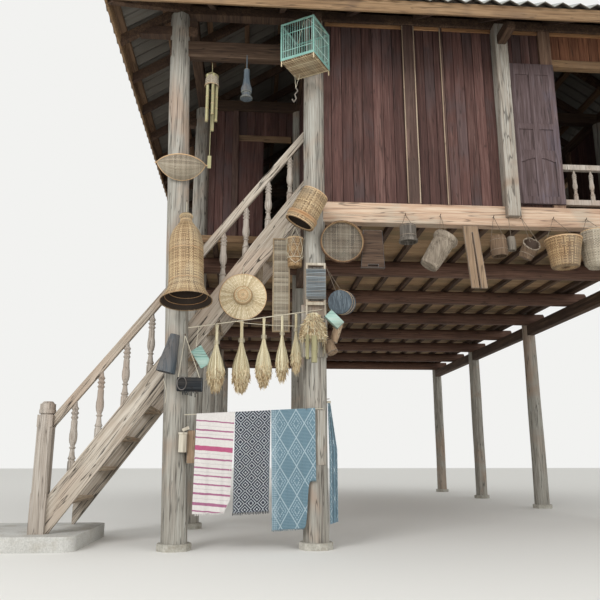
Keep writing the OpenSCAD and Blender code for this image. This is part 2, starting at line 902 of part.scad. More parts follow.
module over_region(kind, gap, reach = 0) {
    translate([0, 0, rafter_bottom - big / 10]) linear_extrude(big / 2)
        if (kind == "end") end_region(gap, reach);
        else side_region(gap, reach);
}

// Puts a slope on its side of the house
module slope_at(side) {
    if (side == "front") translate([-eave_over, -eave_over, 0]) children();
    if (side == "rear") translate([house_w + eave_over, house_d + eave_over, 0])
        rotate([0, 0, 180]) children();
    if (side == "left") translate([-eave_over, house_d + eave_over, 0])
        rotate([0, 0, -90]) children();
    if (side == "right") translate([house_w + eave_over, -eave_over, 0])
        rotate([0, 0, 90]) children();
}

function slope_length(kind) = kind == "end" ? 2 * half_span : house_d + 2 * eave_over;

module slope_rafters(kind) {
    length = slope_length(kind);
    count = floor(length / rafter_step);
    first = (length - count * rafter_step) / 2;
    hip_gap = hip_w / 2 * sqrt(2);
    intersection() {
        for (k = [0 : count])
            slope_strip(first + k * rafter_step - rafter_w / 2,
                first + k * rafter_step + rafter_w / 2, fascia_t, half_span - ridge_w / 2,
                rafter_bottom, rafter_h / cos(pitch));
        over_region(kind, hip_gap);
    }
}

module rafters() {
    color(beam_dark) difference() {
        union() {
            for (side = ["front", "rear"]) slope_at(side) slope_rafters("end");
            for (side = ["left", "right"]) slope_at(side) slope_rafters("side");
        }
        wall_plates();
    }
}

module hip_rafter() {
    drop = hip_w / 2 / sqrt(2) * slope;
    run = (half_span - ridge_w / 2) * sqrt(2);
    hip_slope = slope / sqrt(2);
    top = rafter_top - drop;
    start = fascia_t * sqrt(2) + hip_w / 2;
    rotate([90, 0, 45]) translate([0, 0, -hip_w / 2]) linear_extrude(hip_w)
        polygon([[start, top + start * hip_slope], [run, top + run * hip_slope],
            [run, top + run * hip_slope - hip_h], [start, top + start * hip_slope - hip_h]]);
}

module hip_rafters() {
    color(beam_dark) difference() {
        for (x = [0, 1], y = [0, 1])
            translate([x * house_w, y * house_d, 0]) mirror([x, 0, 0]) mirror([0, y, 0])
                translate([-eave_over, -eave_over, 0]) hip_rafter();
        wall_plates();
        ridge_beam();
        eave_outriggers();
    }
}

module slope_battens(kind) {
    count = floor(half_span / roof_batten_step);
    intersection() {
        for (k = [0 : count - 1])
            slope_strip(0, slope_length(kind), fascia_t + k * roof_batten_step,
                fascia_t + k * roof_batten_step + roof_batten_w * cos(pitch),
                rafter_top, batten_t / cos(pitch));
        over_region(kind, slack);
    }
}

module roof_battens() {
    color(trim_brown) {
        for (side = ["front", "rear"]) slope_at(side) slope_battens("end");
        for (side = ["left", "right"]) slope_at(side) slope_battens("side");
    }
}

module eave_fascia() {
    lift = fascia_t * 0.4;
    z = rafter_bottom + lift;
    color(trim_brown) {
        for (side = ["front", "rear"]) slope_at(side)
            block([0, 0, z], [2 * half_span, fascia_t, z + fascia_h]);
        for (side = ["left", "right"]) slope_at(side)
            block([fascia_t + slack, 0, z],
                [slope_length("side") - fascia_t - slack, fascia_t, z + fascia_h]);
    }
}

// Wavy sheet covering, drawn across the slope and swept up it
module wave_profile(length) {
    waves = ceil(length / wave_w) + 1;
    steps = 4;
    line = [for (k = [0 : waves * steps])
        [k * wave_w / steps, (wave_h - sheet_t) / 2 * (1 - cos(k * 360 / steps))]];
    polygon(concat(line, [for (k = [waves * steps : -1 : 0]) line[k] + [0, sheet_t]]));
}

module slope_sheet(kind) {
    length = slope_length(kind) + 2 * sheet_over;
    z = batten_top - sheet_over * slope;
    intersection() {
        translate([-sheet_over - wave_w / 4, -sheet_over, z]) rotate([pitch, 0, 0])
            rotate([90, 0, 0]) mirror([0, 0, 1])
            linear_extrude((half_span + sheet_over) / cos(pitch)) wave_profile(length);
        over_region(kind, slack, sheet_over);
    }
}

module end_roof_sheets() {
    color(sheet_grey) for (side = ["front", "rear"]) slope_at(side) slope_sheet("end");
}

module side_roof_sheets() {
    color(sheet_grey) difference() {
        for (side = ["left", "right"]) slope_at(side) slope_sheet("side");
        block([house_w / 2 - slack, -big / 4, 0], [house_w / 2 + slack, big, big]);
    }
}

// Half round caps over the ridge and the hips
cap_t = 14;
cap_lift = 8;
module cap_profile(fall_angle) {
    wing = cap_r * cos(fall_angle);
    fall = cap_r * sin(fall_angle);
    polygon([[0, 0], [-wing, -fall], [-wing, cap_t - fall], [0, cap_t + cap_r / 4],
        [wing, cap_t - fall], [wing, -fall]]);
}

// A cap from the corner of the eaves up to the end of the ridge
module hip_cap(top) {
    rise_angle = atan(slope / sqrt(2));
    run = half_span * sqrt(2);
    length = (run + sheet_over * sqrt(2)) / cos(rise_angle);
    fall_angle = acos(cos(pitch) * cos(pitch)) / 2;
    intersection() {
        translate([half_span, half_span, top]) rotate([0, 0, 45]) rotate([0, -rise_angle, 0])
            rotate([0, -90, 0]) rotate([0, 0, -90]) linear_extrude(length) cap_profile(fall_angle);
        block([-big, -big, 0], [half_span - cap_r, half_span - cap_r / 2, big]);
    }
}

module roof_caps() {
    top = batten_top + half_span * slope + wave_h / cos(pitch) + cap_lift;
    color(sheet_grey) {
        translate([house_w / 2, ridge_y1 + cap_r / 3, top]) rotate([90, 0, 0])
            linear_extrude(ridge_y1 - ridge_y0 + cap_r * 2 / 3) cap_profile(pitch);
        for (x = [0, 1], y = [0, 1])
            translate([x * house_w, y * house_d, 0]) mirror([x, 0, 0]) mirror([0, y, 0])
                translate([-eave_over, -eave_over, 0]) hip_cap(top);
    }
}

// Line of the stair: height of the tread line over x
function stair_z(x) = plinth_h + rise + (x - first_tread_x) * stair_slope;

module stair_band(x0, x1, low, high, y0, y1) {
    translate([0, y1, 0]) rotate([90, 0, 0]) linear_extrude(y1 - y0)
        polygon([[x0, stair_z(x0) + low], [x1, stair_z(x1) + low],
            [x1, stair_z(x1) + high], [x0, stair_z(x0) + high]]);
}

module stair_plinth() {
    low = [newel_x - newel_w / 2 - plinth_out, stringer_y - plinth_front];
    high = [first_tread_x + going, stringer_y + stair_w + plinth_rear];
    size = high - low;
    color(stone_grey) translate([low[0], low[1], 0]) linear_extrude(plinth_h) union() {
        translate([plinth_corner, 0]) square([size[0] - 2 * plinth_corner, size[1]]);
        translate([0, plinth_corner]) square([size[0], size[1] - 2 * plinth_corner]);
        for (x = [plinth_corner, size[0] - plinth_corner], y = [plinth_corner, size[1] - plinth_corner])
            translate([x, y]) circle(r = plinth_corner);
    }
}

module stringer(y) {
    x0 = newel_x + newel_w / 2;
    intersection() {
        stair_band(x0, head_beam_x, string_up - stringer_drop, string_up, y, y + stringer_t);
        block([x0, y, plinth_h], [head_beam_x, y + stringer_t, big]);
    }
}

module stair_stringers() {
    color(stair_grey) difference() {
        union() {
            stringer(stringer_y);
            stringer(stringer_y + stair_w - stringer_t);
        }
        stair_treads();
    }
}

module stair_treads() {
    color(stair_grey) for (k = [0 : tread_count - 1])
        block([first_tread_x + k * going - tread_d / 2, stringer_y + stringer_t - housing,
                plinth_h + (k + 1) * rise - tread_t],
            [first_tread_x + k * going + tread_d / 2, stringer_y + stair_w - stringer_t + housing,
                plinth_h + (k + 1) * rise]);
}

module stair_newel() {
    chamfer = newel_w * 0.1;
    neck_h = 14;
    ring_h = 34;
    cap_h = 76;
    shaft_h = newel_h - neck_h - ring_h - cap_h;
    color(stair_grey) translate([newel_x, stair_mid_y, plinth_h]) difference() {
        union() {
            translate([-newel_w / 2, -newel_w / 2, 0]) cube([newel_w, newel_w, shaft_h]);
            cylinder(h = newel_h - cap_h / 2, d = newel_w * 0.86);
            translate([0, 0, shaft_h + neck_h]) cylinder(h = ring_h, d = newel_w * 1.08);
            translate([0, 0, newel_h - cap_h]) rotate([0, 0, 22.5])
                cylinder(h = cap_h * 0.7, d = newel_w * 1.02, $fn = 8);
            translate([0, 0, newel_h - cap_h * 0.35])
                cylinder(h = cap_h * 0.35, d1 = newel_w * 0.94, d2 = newel_w * 0.6);
        }
        for (a = [0 : 90 : 270]) rotate([0, 0, a + 45])
            translate([newel_w / sqrt(2) - chamfer, -newel_w, newel_h * 0.3])
            cube([newel_w, 2 * newel_w, newel_h * 0.5]);
    }
}

// The handrail falls a little less steeply than the stair, from one gap to the other
rail_x0 = newel_x + newel_w / 2;
rail_x1 = stair_bay - plank_t / 2;
function rail_gap_at(x) = rail_gap + (rail_gap_top - rail_gap) * (x - rail_x0) / (rail_x1 - rail_x0);
function rail_z(x) = stair_z(x) + string_up + rail_gap_at(x);

module rail_band(x0, x1, low, high, y0, y1) {
    translate([0, y1, 0]) rotate([90, 0, 0]) linear_extrude(y1 - y0)
        polygon([[x0, rail_z(x0) + low], [x1, rail_z(x1) + low],
            [x1, rail_z(x1) + high], [x0, rail_z(x0) + high]]);
}

module stair_handrail() {
    color(stair_grey) rail_band(rail_x0, rail_x1, 0, rail_drop,
        stair_mid_y - rail_t / 2, stair_mid_y + rail_t / 2);
}

module stair_balusters() {
    reach = stair_slope * baluster_d;
    color(stair_grey) difference() {
        for (k = [0 : baluster_count - 1]) {
            x = newel_x + baluster_back + k * baluster_step;
            translate([x, stair_mid_y, stair_z(x) + string_up - reach / 2])
                turned_baluster(rail_gap_at(x) + reach, baluster_d);
        }
        stair_band(newel_x, stair_bay, -big / 4, string_up, stair_mid_y - baluster_d,
            stair_mid_y + baluster_d);
        rail_band(rail_x0, stair_bay, 0, big / 4, stair_mid_y - baluster_d,
            stair_mid_y + baluster_d);
    }
}

// Faces that hung goods hang in front of
beam_face = -rim_t / 2 - hang_gap;
column_face = -col_foot_d / 2 - hang_gap;
stringer_face = stringer_y - hang_gap;

// Places that the tables of hung goods are measured from
on_beam = [stair_bay, beam_face, rim_bottom];
on_head_column = [stair_bay, column_face, rim_bottom];
on_left_column = [left_foot_x, column_face, rim_bottom];

// Stands a child up along a way from a place, its own axis being +Z
module aim(place, way) {
    translate(place) rotate([0, acos(way[2] / norm(way)), atan2(way[1], way[0])]) children();
}

module bar(from, to, d) {
    aim(from, to - from) cylinder(h = norm(to - from), d = d, $fn = 16);
}

// Round vessel from pairs of height and radius, open at its last pair
module vessel(profile, wall = ware_t) {
    last = len(profile) - 1;
    rotate_extrude() polygon(concat(
        [[0, profile[0][0]]], [for (p = profile) [p[1], p[0]]],
        [for (k = [last : -1 : 1]) [profile[k][1] - wall, profile[k][0]]],
        [[profile[0][1] - wall, profile[0][0] + wall], [0, profile[0][0] + wall]]));
}

module closed_round(profile) {
    last = len(profile) - 1;
    rotate_extrude() polygon(concat(
        [[0, profile[0][0]]], [for (p = profile) [p[1], p[0]]], [[0, profile[last][0]]]));
}

// Scales a profile of shares to a length and a radius
function sized(shares, length, radius) = [for (p = shares) [p[0] * length, p[1] * radius]];

// A vessel hung at a place; place and profile are shares of ware_h
module ware(from, place, way, shares) {
    aim(from + place * ware_h, way) vessel(sized(shares, ware_h, ware_h));
}

// Bottle shaped fish trap: neck up, flared mouth down, leaning out from the left column
trap_shape = [
    [0.00, 0.36], [0.02, 0.42], [0.04, 0.34], [0.08, 0.34], [0.10, 0.40], [0.14, 0.54],
    [0.205, 0.78], [0.27, 0.92], [0.36, 1.00], [0.82, 1.00], [0.89, 1.10], [0.95, 1.28],
    [1.00, 1.48]
];
trap_lean = 9;

module fish_trap() {
    hung_at = on_left_column + [0.033, -0.291, -0.1] * ware_h;
    color(wicker_tan)
        aim(hung_at, [tan(3), -sin(trap_lean), -cos(trap_lean)])
            vessel(sized(trap_shape, trap_l, trap_d / 2));
}

// Boat shaped tray, cut from a round shell by two arcs, hung belly down on the left column
module saddle_tray() {
    arc_r = (pow(tray_l / 2, 2) + pow(tray_w / 2, 2)) / tray_w;
    tray_r = tray_l * 5 / 8;
    color(wicker_tan)
        aim([-left_foot_x / 5, column_face - tray_w / 2, floor_z + ware_h / 2], [0.05, -0.62, -0.78])
            rotate([0, 0, 90]) intersection() {
                translate([0, 0, -tray_r]) difference() {
                    sphere(r = tray_r, $fn = 64);
                    sphere(r = tray_r - ware_t, $fn = 64);
                }
                translate([0, arc_r - tray_w / 2, -tray_r]) cylinder(h = 2 * tray_r, r = arc_r);
                translate([0, tray_w / 2 - arc_r, -tray_r]) cylinder(h = 2 * tray_r, r = arc_r);
            }
}

// Baskets: profiles from the bottom to the mouth
drum_basket = [[0, 0.356], [0.056, 0.378], [0.819, 0.394], [0.889, 0.417], [0.944, 0.408]];
side_basket = [[0, 0.183], [0.033, 0.194], [0.694, 0.222], [0.806, 0.233]];
round_basket = [[0, 0.35], [0.044, 0.372], [0.528, 0.444], [0.681, 0.478], [0.792, 0.492]];
tall_basket = [[0, 0.256], [0.111, 0.339], [0.528, 0.411], [0.889, 0.389], [1.042, 0.372]];

module woven_baskets() {
    color(wicker_tan) {
        ware(on_head_column, [-0.039, -0.461, 0.553], [-0.46, 0.05, -0.89], drum_basket);
        ware(on_head_column, [-0.544, 0.289, -1.294], [0, 0, 1], side_basket);
        ware(on_beam, [6.736, -0.5, -1.333], [0, 0, 1], round_basket);
        ware(on_beam, [7.694, -0.422, -1.306], [0, 0, 1], tall_basket);
    }
}

// Round sieve with a flat bottom of mesh, hung on edge in front of the rim beam
module round_sieve() {
    sieve_r = sieve_d / 2;
    color(wicker_tan)
        aim([stair_bay + sieve_r * 1.205, column_face, rim_bottom - 6 * hang_gap - sieve_r], [0, -1, 0])
            vessel([[0, sieve_r - ware_t], [ware_t, sieve_r], [sieve_rim, sieve_r]]);
}

// Sun hat of straw, crown outwards, hung flat on the front stringer
hat_shape = [[0, 1], [0.025, 1], [0.13, 0.42], [0.33, 0.38], [0.41, 0.25]];
module straw_hat() {
    hat_x = stair_bay - hat_d * 1.48;
    color(straw_pale)
        aim([hat_x, stringer_face, stair_z(hat_x) + string_up - hat_d * 0.94], [0, -1, 0])
            closed_round(sized(hat_shape, hat_d / 2, hat_d / 2));
}

// Bird cage: floor, corner posts and rims; its wires are too thin for a solid of their own
cage_turn = 59;
module bird_cage() {
    inner_w = cage_w - 2 * cage_bar;
    color(cage_green) translate([stair_bay, column_face, floor_z] + [-0.5, 0, 3.547] * ware_h)
        rotate([0, 0, cage_turn]) translate([-cage_w, -cage_w, 0]) difference() {
            cube([cage_w, cage_w, cage_h]);
            translate([cage_bar, cage_bar, cage_bar]) cube([inner_w, inner_w, cage_h]);
            for (turn = [0, 90, 180, 270])
                translate([cage_w / 2, cage_w / 2, 0]) rotate([0, 0, turn])
                    translate([-inner_w / 2, -cage_w, cage_bar * 2])
                    cube([inner_w, cage_w, cage_h - 3 * cage_bar]);
        }
}

// Pots, bells and tubes: profiles from the closed end to the mouth
small_drum = [[0, 0.222], [0.361, 0.222], [0.403, 0.256], [0.472, 0.256]];
mortar = [[0, 0.239], [0.111, 0.261], [0.694, 0.294], [0.811, 0.278], [0.867, 0.339],
    [0.944, 0.35], [1, 0.328]];
large_bell = [[0, 0.194], [0.083, 0.217], [0.361, 0.233], [0.514, 0.222], [0.569, 0.2]];
small_bell = [[0, 0.1], [0.194, 0.122], [0.389, 0.114]];
flared_tube = [[0, 0.172], [0.167, 0.211], [0.5, 0.239], [0.625, 0.267]];
bucket = [[0, 0.3], [0.056, 0.319], [0.45, 0.311], [0.5, 0.325]];

module hung_pots() {
    color(pot_grey) {
        ware(on_beam, [2.514, -0.261, -0.167], [0, 0, -1], small_drum);
        ware(on_beam, [3.014, -0.356, -1.333], [0.54, 0, 0.84], mortar);
        ware(on_beam, [5.014, -0.239, -0.406], [0.05, 0, -1], large_bell);
        ware(on_beam, [5.439, -0.128, -0.378], [0, 0, -1], small_bell);
        ware(on_beam, [5.736, -0.233, -1.017], [0.41, -0.27, 0.87], flared_tube);
        ware(on_head_column, [0.564, -0.406, -2.411], [0.36, 0.92, 0.17], bucket);
    }
}

// Two long boards that part downwards and a slotted block, as outlines in shares of ware_h
forked_boards = [[0, 0], [0.417, 0], [0.597, -1.778], [0.417, -1.778], [0.264, -0.194],
    [0.236, -0.194], [0.361, -1.778], [0.153, -1.778]];
slotted_block = [[0, 0], [0.528, 0], [0.575, -1.069], [-0.072, -1.069]];
dark_tube = [[0, 0.122], [0.167, 0.144], [0.694, 0.217], [0.978, 0.244]];

module flat_ware(place, outline, thickness) {
    translate(on_beam + place * ware_h) rotate([90, 0, 0]) linear_extrude(thickness * ware_h)
        polygon(outline * ware_h);
}

// A block on a column, from its place, its size in shares of ware_h
module block_ware(from, place, size) {
    translate(from + place * ware_h) cube(size * ware_h);
}

// Wash board: a frame with two slots
module wash_board() {
    difference() {
        cube([0.533, 0.094, 1.153] * ware_h);
        for (z = [0.111, 1]) translate([0.067, -slack / ware_h, z] * ware_h)
            cube([0.4, 0.2, 0.072] * ware_h);
    }
}

module hung_woodware() {
    color(beam_tan) {
        flat_ware([4.111, 0, -0.056], forked_boards, 0.083);
        difference() {
            flat_ware([1.3, 0, -0.278], slotted_block, 0.15);
            block_ware(on_beam, [1.417, -0.2, -1.311], [0.278, 0.3, 0.061]);
        }
    }
    color(beam_dark) {
        aim(on_left_column + [-0.119, -0.25, -3.294] * ware_h, [-0.21, 0, -0.98])
            vessel(sized(dark_tube, ware_h, ware_h));
        bar(on_left_column + [-0.028, -0.2, -4.537] * ware_h,
            on_left_column + [0.603, -0.2, -4.548] * ware_h, 0.356 * ware_h);
        block_ware(on_left_column, [0.256, -0.003, -6.461], [0.2, 0.25, 0.806]);
    }
    color(trim_brown) {
        translate(on_head_column + [-0.278, -0.094, -2.433] * ware_h) wash_board();
        translate(on_head_column + [0.414, -0.5, -2.897] * ware_h) rotate([0, -45, 0])
            cube([0.25, 0.16, 0.46] * ware_h, center = true);
        bar(on_head_column + [0.408, -0.211, -3.711] * ware_h,
            on_head_column + [0.278, -0.1, -3.42] * ware_h, 0.289 * ware_h);
        bar(on_head_column + [0.647, 0.094, -2.794] * ware_h,
            on_head_column + [0.453, 0.122, -3.378] * ware_h, 0.222 * ware_h);
    }
}

// Straw skirt tied round the foot of the goods on the stair's head column
skirt_shape = [[0, 0.344], [0.167, 0.35], [0.778, 0.267], [0.972, 0.167], [1.083, 0.111]];
module straw_bundle() {
    color(straw_pale) aim(on_head_column + [-0.108, -0.356, -3.797] * ware_h, [0, 0, 1])
        closed_round(sized(skirt_shape, ware_h, ware_h));
}

// Long panel of split reed with a sunk face, hung on the front stringer
module reed_panel() {
    reed_edge = 14;
    sunk = reed_t / 3;
    color(wicker_tan)
        translate([stair_bay - 1.131 * ware_h, stringer_face - reed_t, floor_z - ware_h - reed_h])
        difference() {
            cube([reed_w, reed_t, reed_h]);
            translate([reed_edge, -slack, reed_edge])
                cube([reed_w - 2 * reed_edge, sunk + slack, reed_h - 2 * reed_edge]);
        }
}

// Chime of bamboo tubes and a turned bell, hung in front of the tie beam; shares of ware_h
chime_tubes = [1.056, 1.278, 0.972, 1.111, 0.917];
bell_shape = [[0, 0.172], [0.044, 0.172], [0.072, 0.122], [0.167, 0.111], [0.194, 0.15],
    [0.306, 0.156], [0.444, 0.111], [0.639, 0.083], [0.917, 0.078], [0.958, 0.017], [1.389, 0.017]];

module chime(string_d) {
    cylinder(h = ware_h / 12, r1 = 0.189 * ware_h, r2 = 0.083 * ware_h, $fn = 24);
    for (k = [0 : len(chime_tubes) - 1]) rotate([0, 0, k * 360 / len(chime_tubes)])
        translate([0.139, 0, -chime_tubes[k]] * ware_h)
            cylinder(h = chime_tubes[k] * ware_h + slack, d = 0.078 * ware_h, $fn = 16);
    translate([0, 0, -2.444 * ware_h]) cylinder(h = 2.861 * ware_h, d = string_d, $fn = 8);
    translate([-0.05, -0.011, -2.806] * ware_h) cube([0.1, 0.022, 0.367] * ware_h);
}

module bamboo_chime() {
    in_front = -plate_w / 2 - 0.208 * ware_h;
    color(straw_pale)
        translate([stair_bay - 2.917 * ware_h, in_front, floor_z + 3.528 * ware_h]) chime(line_d * 0.6);
    color(pot_grey)
        translate([stair_bay - 1.944 * ware_h, in_front, floor_z + 2.861 * ware_h])
            closed_round(sized(bell_shape, ware_h, ware_h));
}

// Two lines run from the left column to the stair's head column; places on them are shares
line_y = column_face - line_d / 2;
line_end = col_foot_d / 4;
line_x0 = left_foot_x + line_end;
line_x1 = stair_bay + line_end;
function line_x(share) = left_foot_x + share * (stair_bay - left_foot_x);
function line_z(foot, head, x) = foot + (head - foot) * (x - left_foot_x) / (stair_bay - left_foot_x);
function upper_line_z(x) = line_z(sheaf_line_z0, sheaf_line_z, x);
function lower_line_z(x) = line_z(cloth_line_z0, cloth_line_z, x);

module hung_lines() {
    color(straw_pale) {
        bar([line_x0, line_y, upper_line_z(line_x0)], [line_x1, line_y, upper_line_z(line_x1)], line_d);
        bar([line_x0, line_y, lower_line_z(line_x0)], [line_x1, line_y, lower_line_z(line_x1)], line_d);
    }
}

// Sheaves of grain, hung by their stalks: place on the line, length and radius
sheaf_shape = [
    [0.00, 0.30], [0.06, 0.62], [0.16, 0.94], [0.28, 1.00], [0.42, 0.82], [0.56, 0.46],
    [0.68, 0.26], [0.96, 0.22], [1.00, 0.28]
];
sheaves = [[0.261, 0.922, 0.141], [0.445, 1, 0.144], [0.609, 0.969, 0.131],
    [0.745, 0.93, 0.108], [0.848, 0.84, 0.09]];

module grain_sheaves() {
    color(straw_pale) for (s = sheaves) {
        x = line_x(s[0]);
        translate([x, line_y, upper_line_z(x) - line_d - s[1] * sheaf_l])
            closed_round(sized(sheaf_shape, s[1] * sheaf_l, s[2] * sheaf_l));
    }
}

// Woven cloths over the lower line: left edge and width on the line, and length
cloths = [[0.135, 0.272, 0.835], [0.41, 0.255, 0.845], [0.669, 0.319, 1]];
module hung_cloths() {
    span = stair_bay - left_foot_x;
    color(cloth_white) for (c = cloths) {
        x = line_x(c[0]);
        translate([x, line_y - cloth_t / 2, lower_line_z(x) - line_d / 2 - c[2] * cloth_l])
            cube([c[1] * span, cloth_t, c[2] * cloth_l - slack]);
    }
}

column_footings();
front_left_column();
stair_head_column();
front_right_column();
house_columns();
floor_bearers();
floor_girders();
floor_joists();
front_rim_beam();
stair_head_beam();
wall_sills();
floor_boards();
gallery_floor();
gallery_edge_board();
front_wall();
cross_wall();
gallery_wall();
gallery_door_leaf();
left_wall();
right_wall();
rear_wall();
front_post();
wall_studs();
window_jambs();
window_lintels();
window_balustrades();
shutters();
top_rails();
wall_plates();
stair_bay_tie();
tie_beams();
ridge_beam();
eave_outriggers();
rafters();
hip_rafters();
roof_battens();
eave_fascia();
end_roof_sheets();
side_roof_sheets();
roof_caps();
stair_plinth();
stair_stringers();
stair_treads();
stair_newel();
stair_handrail();
stair_balusters();
fish_trap();
saddle_tray();
woven_baskets();
round_sieve();
straw_hat();
bird_cage();
hung_pots();
hung_woodware();
straw_bundle();
reed_panel();
bamboo_chime();
grain_sheaves();
hung_lines();
hung_cloths();
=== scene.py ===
# %% [markdown]
# A timber house on log columns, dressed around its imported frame.
# The frame brings every beam, board and sheet at its real place and size. This script
# gives them worn edges, boards, finishes and the small things that hang on the house.
# The part has no joints, so every piece rides on its one body, root.

# %% Load the frame
import math

import bmesh
import bpy
import numpy as np
from mathutils import Matrix, Vector


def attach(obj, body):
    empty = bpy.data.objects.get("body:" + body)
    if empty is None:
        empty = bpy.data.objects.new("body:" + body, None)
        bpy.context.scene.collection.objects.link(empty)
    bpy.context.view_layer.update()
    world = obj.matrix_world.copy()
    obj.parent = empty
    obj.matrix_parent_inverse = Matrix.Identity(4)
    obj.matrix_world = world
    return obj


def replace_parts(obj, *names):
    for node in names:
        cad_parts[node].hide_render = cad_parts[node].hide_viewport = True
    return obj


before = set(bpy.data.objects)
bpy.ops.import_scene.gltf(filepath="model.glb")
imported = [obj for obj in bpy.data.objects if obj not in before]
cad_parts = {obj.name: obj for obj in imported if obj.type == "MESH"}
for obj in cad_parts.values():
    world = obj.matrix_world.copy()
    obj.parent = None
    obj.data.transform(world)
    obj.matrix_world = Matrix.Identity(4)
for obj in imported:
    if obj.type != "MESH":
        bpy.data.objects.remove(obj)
BODY = "root"
MM, FULL_TURN = 0.001, 2 * math.pi
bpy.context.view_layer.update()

# %% [markdown]
# The camera stands where the photograph was taken: low, 6.3 m before the front columns,
# turned a little to the right and tilted up. Its place was worked out from the vanishing
# points of the walls, so the frame lines up with the picture without any fitting.

# %% Camera
EYE, LENS_MM = Vector((0.70, -6.26, 0.77)), 40.02
PITCH_UP, TURN_RIGHT = math.radians(13.49), math.radians(4.17)


def in_scene(name, data):
    """A new object in the scene for a mesh, a lamp or a camera."""
    thing = bpy.data.objects.new(name, data)
    bpy.context.scene.collection.objects.link(thing)
    return thing


camera_data = bpy.data.cameras.new("photo_camera")
camera_data.lens, camera_data.sensor_width, camera_data.clip_end = LENS_MM, 36, 200
camera = in_scene("photo_camera", camera_data)
camera.location = EYE
camera.rotation_euler = (math.pi / 2 + PITCH_UP, 0, -TURN_RIGHT)
bpy.context.scene.camera = camera
print("camera at", tuple(EYE), "lens", LENS_MM, "mm")

# %% [markdown]
# Colours are written as sRGB hex values, as a paint chart gives them, and turned into the
# linear values that the shaders want. One helper adds a node with its settings and its
# links. What it returns can be added, multiplied and compared like a number, and each such
# step adds the node that does it, so a finish reads as plain arithmetic.

# %% Colour and node helpers
def linear(hex_colour):
    """sRGB hex to linear red, green, blue and alpha."""
    channels = [int(hex_colour[i:i + 2], 16) / 255 for i in (1, 3, 5)]
    return [c / 12.92 if c <= 0.04045 else ((c + 0.055) / 1.055) ** 2.4 for c in channels] + [1]


def add(tree, kind, links=None, output=0, stops=(), **settings):
    """Adds a node with its settings, its inputs and, in a colour ramp, its (position, hex)
    stops. Returns one of its outputs."""
    node = tree.nodes.new(kind)
    for name, value in settings.items():
        setattr(node, name, value)
    for _ in stops[2:]:
        node.color_ramp.elements.new(0.5)
    for k, (position, hex_colour) in enumerate(stops):
        stop = node.color_ramp.elements[k]
        stop.position, stop.color = position, linear(hex_colour)
    for name, value in (links or {}).items():
        if isinstance(value, Value):
            tree.links.new(value.socket, node.inputs[name])
        else:
            is_colour = isinstance(value, str) and value.startswith("#")
            node.inputs[name].default_value = linear(value) if is_colour else value
    return Value(tree, node.outputs[output]) if node.outputs else None


class Value:
    """An output of a node. Arithmetic on it adds the node that does it."""

    def __init__(self, tree, socket):
        self.tree, self.socket = tree, socket

    def math(self, operation, *others):
        return add(self.tree, "ShaderNodeMath", dict(enumerate((self, *others))),
                   operation=operation)


for method, operation in (("add", "ADD"), ("radd", "ADD"), ("sub", "SUBTRACT"),
                          ("mul", "MULTIPLY"), ("truediv", "DIVIDE"),
                          ("gt", "GREATER_THAN"), ("lt", "LESS_THAN")):
    setattr(Value, f"__{method}__", lambda self, other, name=operation: self.math(name, other))


def shaded(colour, shade):
    """A colour times a number."""
    grey = add(shade.tree, "ShaderNodeCombineColor", {"Red": shade, "Green": shade, "Blue": shade})
    return add(shade.tree, "ShaderNodeMix", {0: 1.0, 6: colour, 7: grey}, 2,
               data_type="RGBA", blend_type="MULTIPLY")


def new_finish(name):
    """An empty material and its tree."""
    material = bpy.data.materials.new(name)
    material.use_nodes = True
    material.node_tree.nodes.clear()
    return material, material.node_tree


def end_finish(tree, colour, rough, specular, height, strength, bump_mm, **more):
    """The last steps of every finish: relief, shader and output."""
    relief = add(tree, "ShaderNodeBump", {"Height": height, "Strength": strength,
                                          "Distance": bump_mm * MM})
    shader = add(tree, "ShaderNodeBsdfPrincipled", {
        "Base Color": colour, "Roughness": rough, "Normal": relief,
        "Specular IOR Level": specular, **more})
    add(tree, "ShaderNodeOutputMaterial", {"Surface": shader})


# %% [markdown]
# A pale floor and soft light from all round, as in a studio. The world is a light grey
# that the camera sees as white, one broad lamp stands in front on the left, and two weaker
# ones lift the shade under the eaves. None of them is coloured.

# %% Floor, world and lamps
FLOOR_HALF = 60.0
WORLD_LIGHT = 0.80
floor_mesh = bpy.data.meshes.new("studio_floor")
floor_mesh.from_pydata([(x * FLOOR_HALF, y * FLOOR_HALF, 0)
                        for x, y in ((-1, -1), (1, -1), (1, 1), (-1, 1))], [], [(0, 1, 2, 3)])
in_scene("studio_floor", floor_mesh)
floor_material, tree = new_finish("pale studio floor, matt paint")
shader = add(tree, "ShaderNodeBsdfPrincipled", {"Base Color": "#EAE9E5", "Roughness": 0.9})
add(tree, "ShaderNodeOutputMaterial", {"Surface": shader})
floor_mesh.materials.append(floor_material)

world = bpy.data.worlds.new("studio")
world.use_nodes = True
bpy.context.scene.world = world
tree = world.node_tree
tree.nodes.clear()
camera, glossy, passed = (add(tree, "ShaderNodeLightPath", output=f"Is {kind} Ray")
                          for kind in ("Camera", "Glossy", "Transmission"))
seen = camera.math("MAXIMUM", glossy.math("MAXIMUM", passed))
sky = add(tree, "ShaderNodeBackground", {"Color": "#F2F2F0",
                                         "Strength": seen * (1.0 - WORLD_LIGHT) + WORLD_LIGHT})
add(tree, "ShaderNodeOutputWorld", {"Surface": sky})
for name, place, aim_at, size, watts in (
        ("key_lamp", (-7, -13, 9), (1.5, 1.0, 3.0), 6.0, 1300),
        ("fill_lamp", (10, -12, 5), (2.5, 2.0, 3.0), 8.0, 560),
        ("low_lamp", (1, -9, 0.6), (2.0, 3.0, 3.2), 5.0, 140)):
    data = bpy.data.lights.new(name, "AREA")
    data.size, data.energy = size, watts
    lamp = in_scene(name, data)
    lamp.location = place
    lamp.rotation_euler = (Vector(aim_at) - Vector(place)).to_track_quat("-Z", "Y").to_euler()
bpy.context.scene.view_settings.view_transform = "Standard"
print("world light", WORLD_LIGHT)

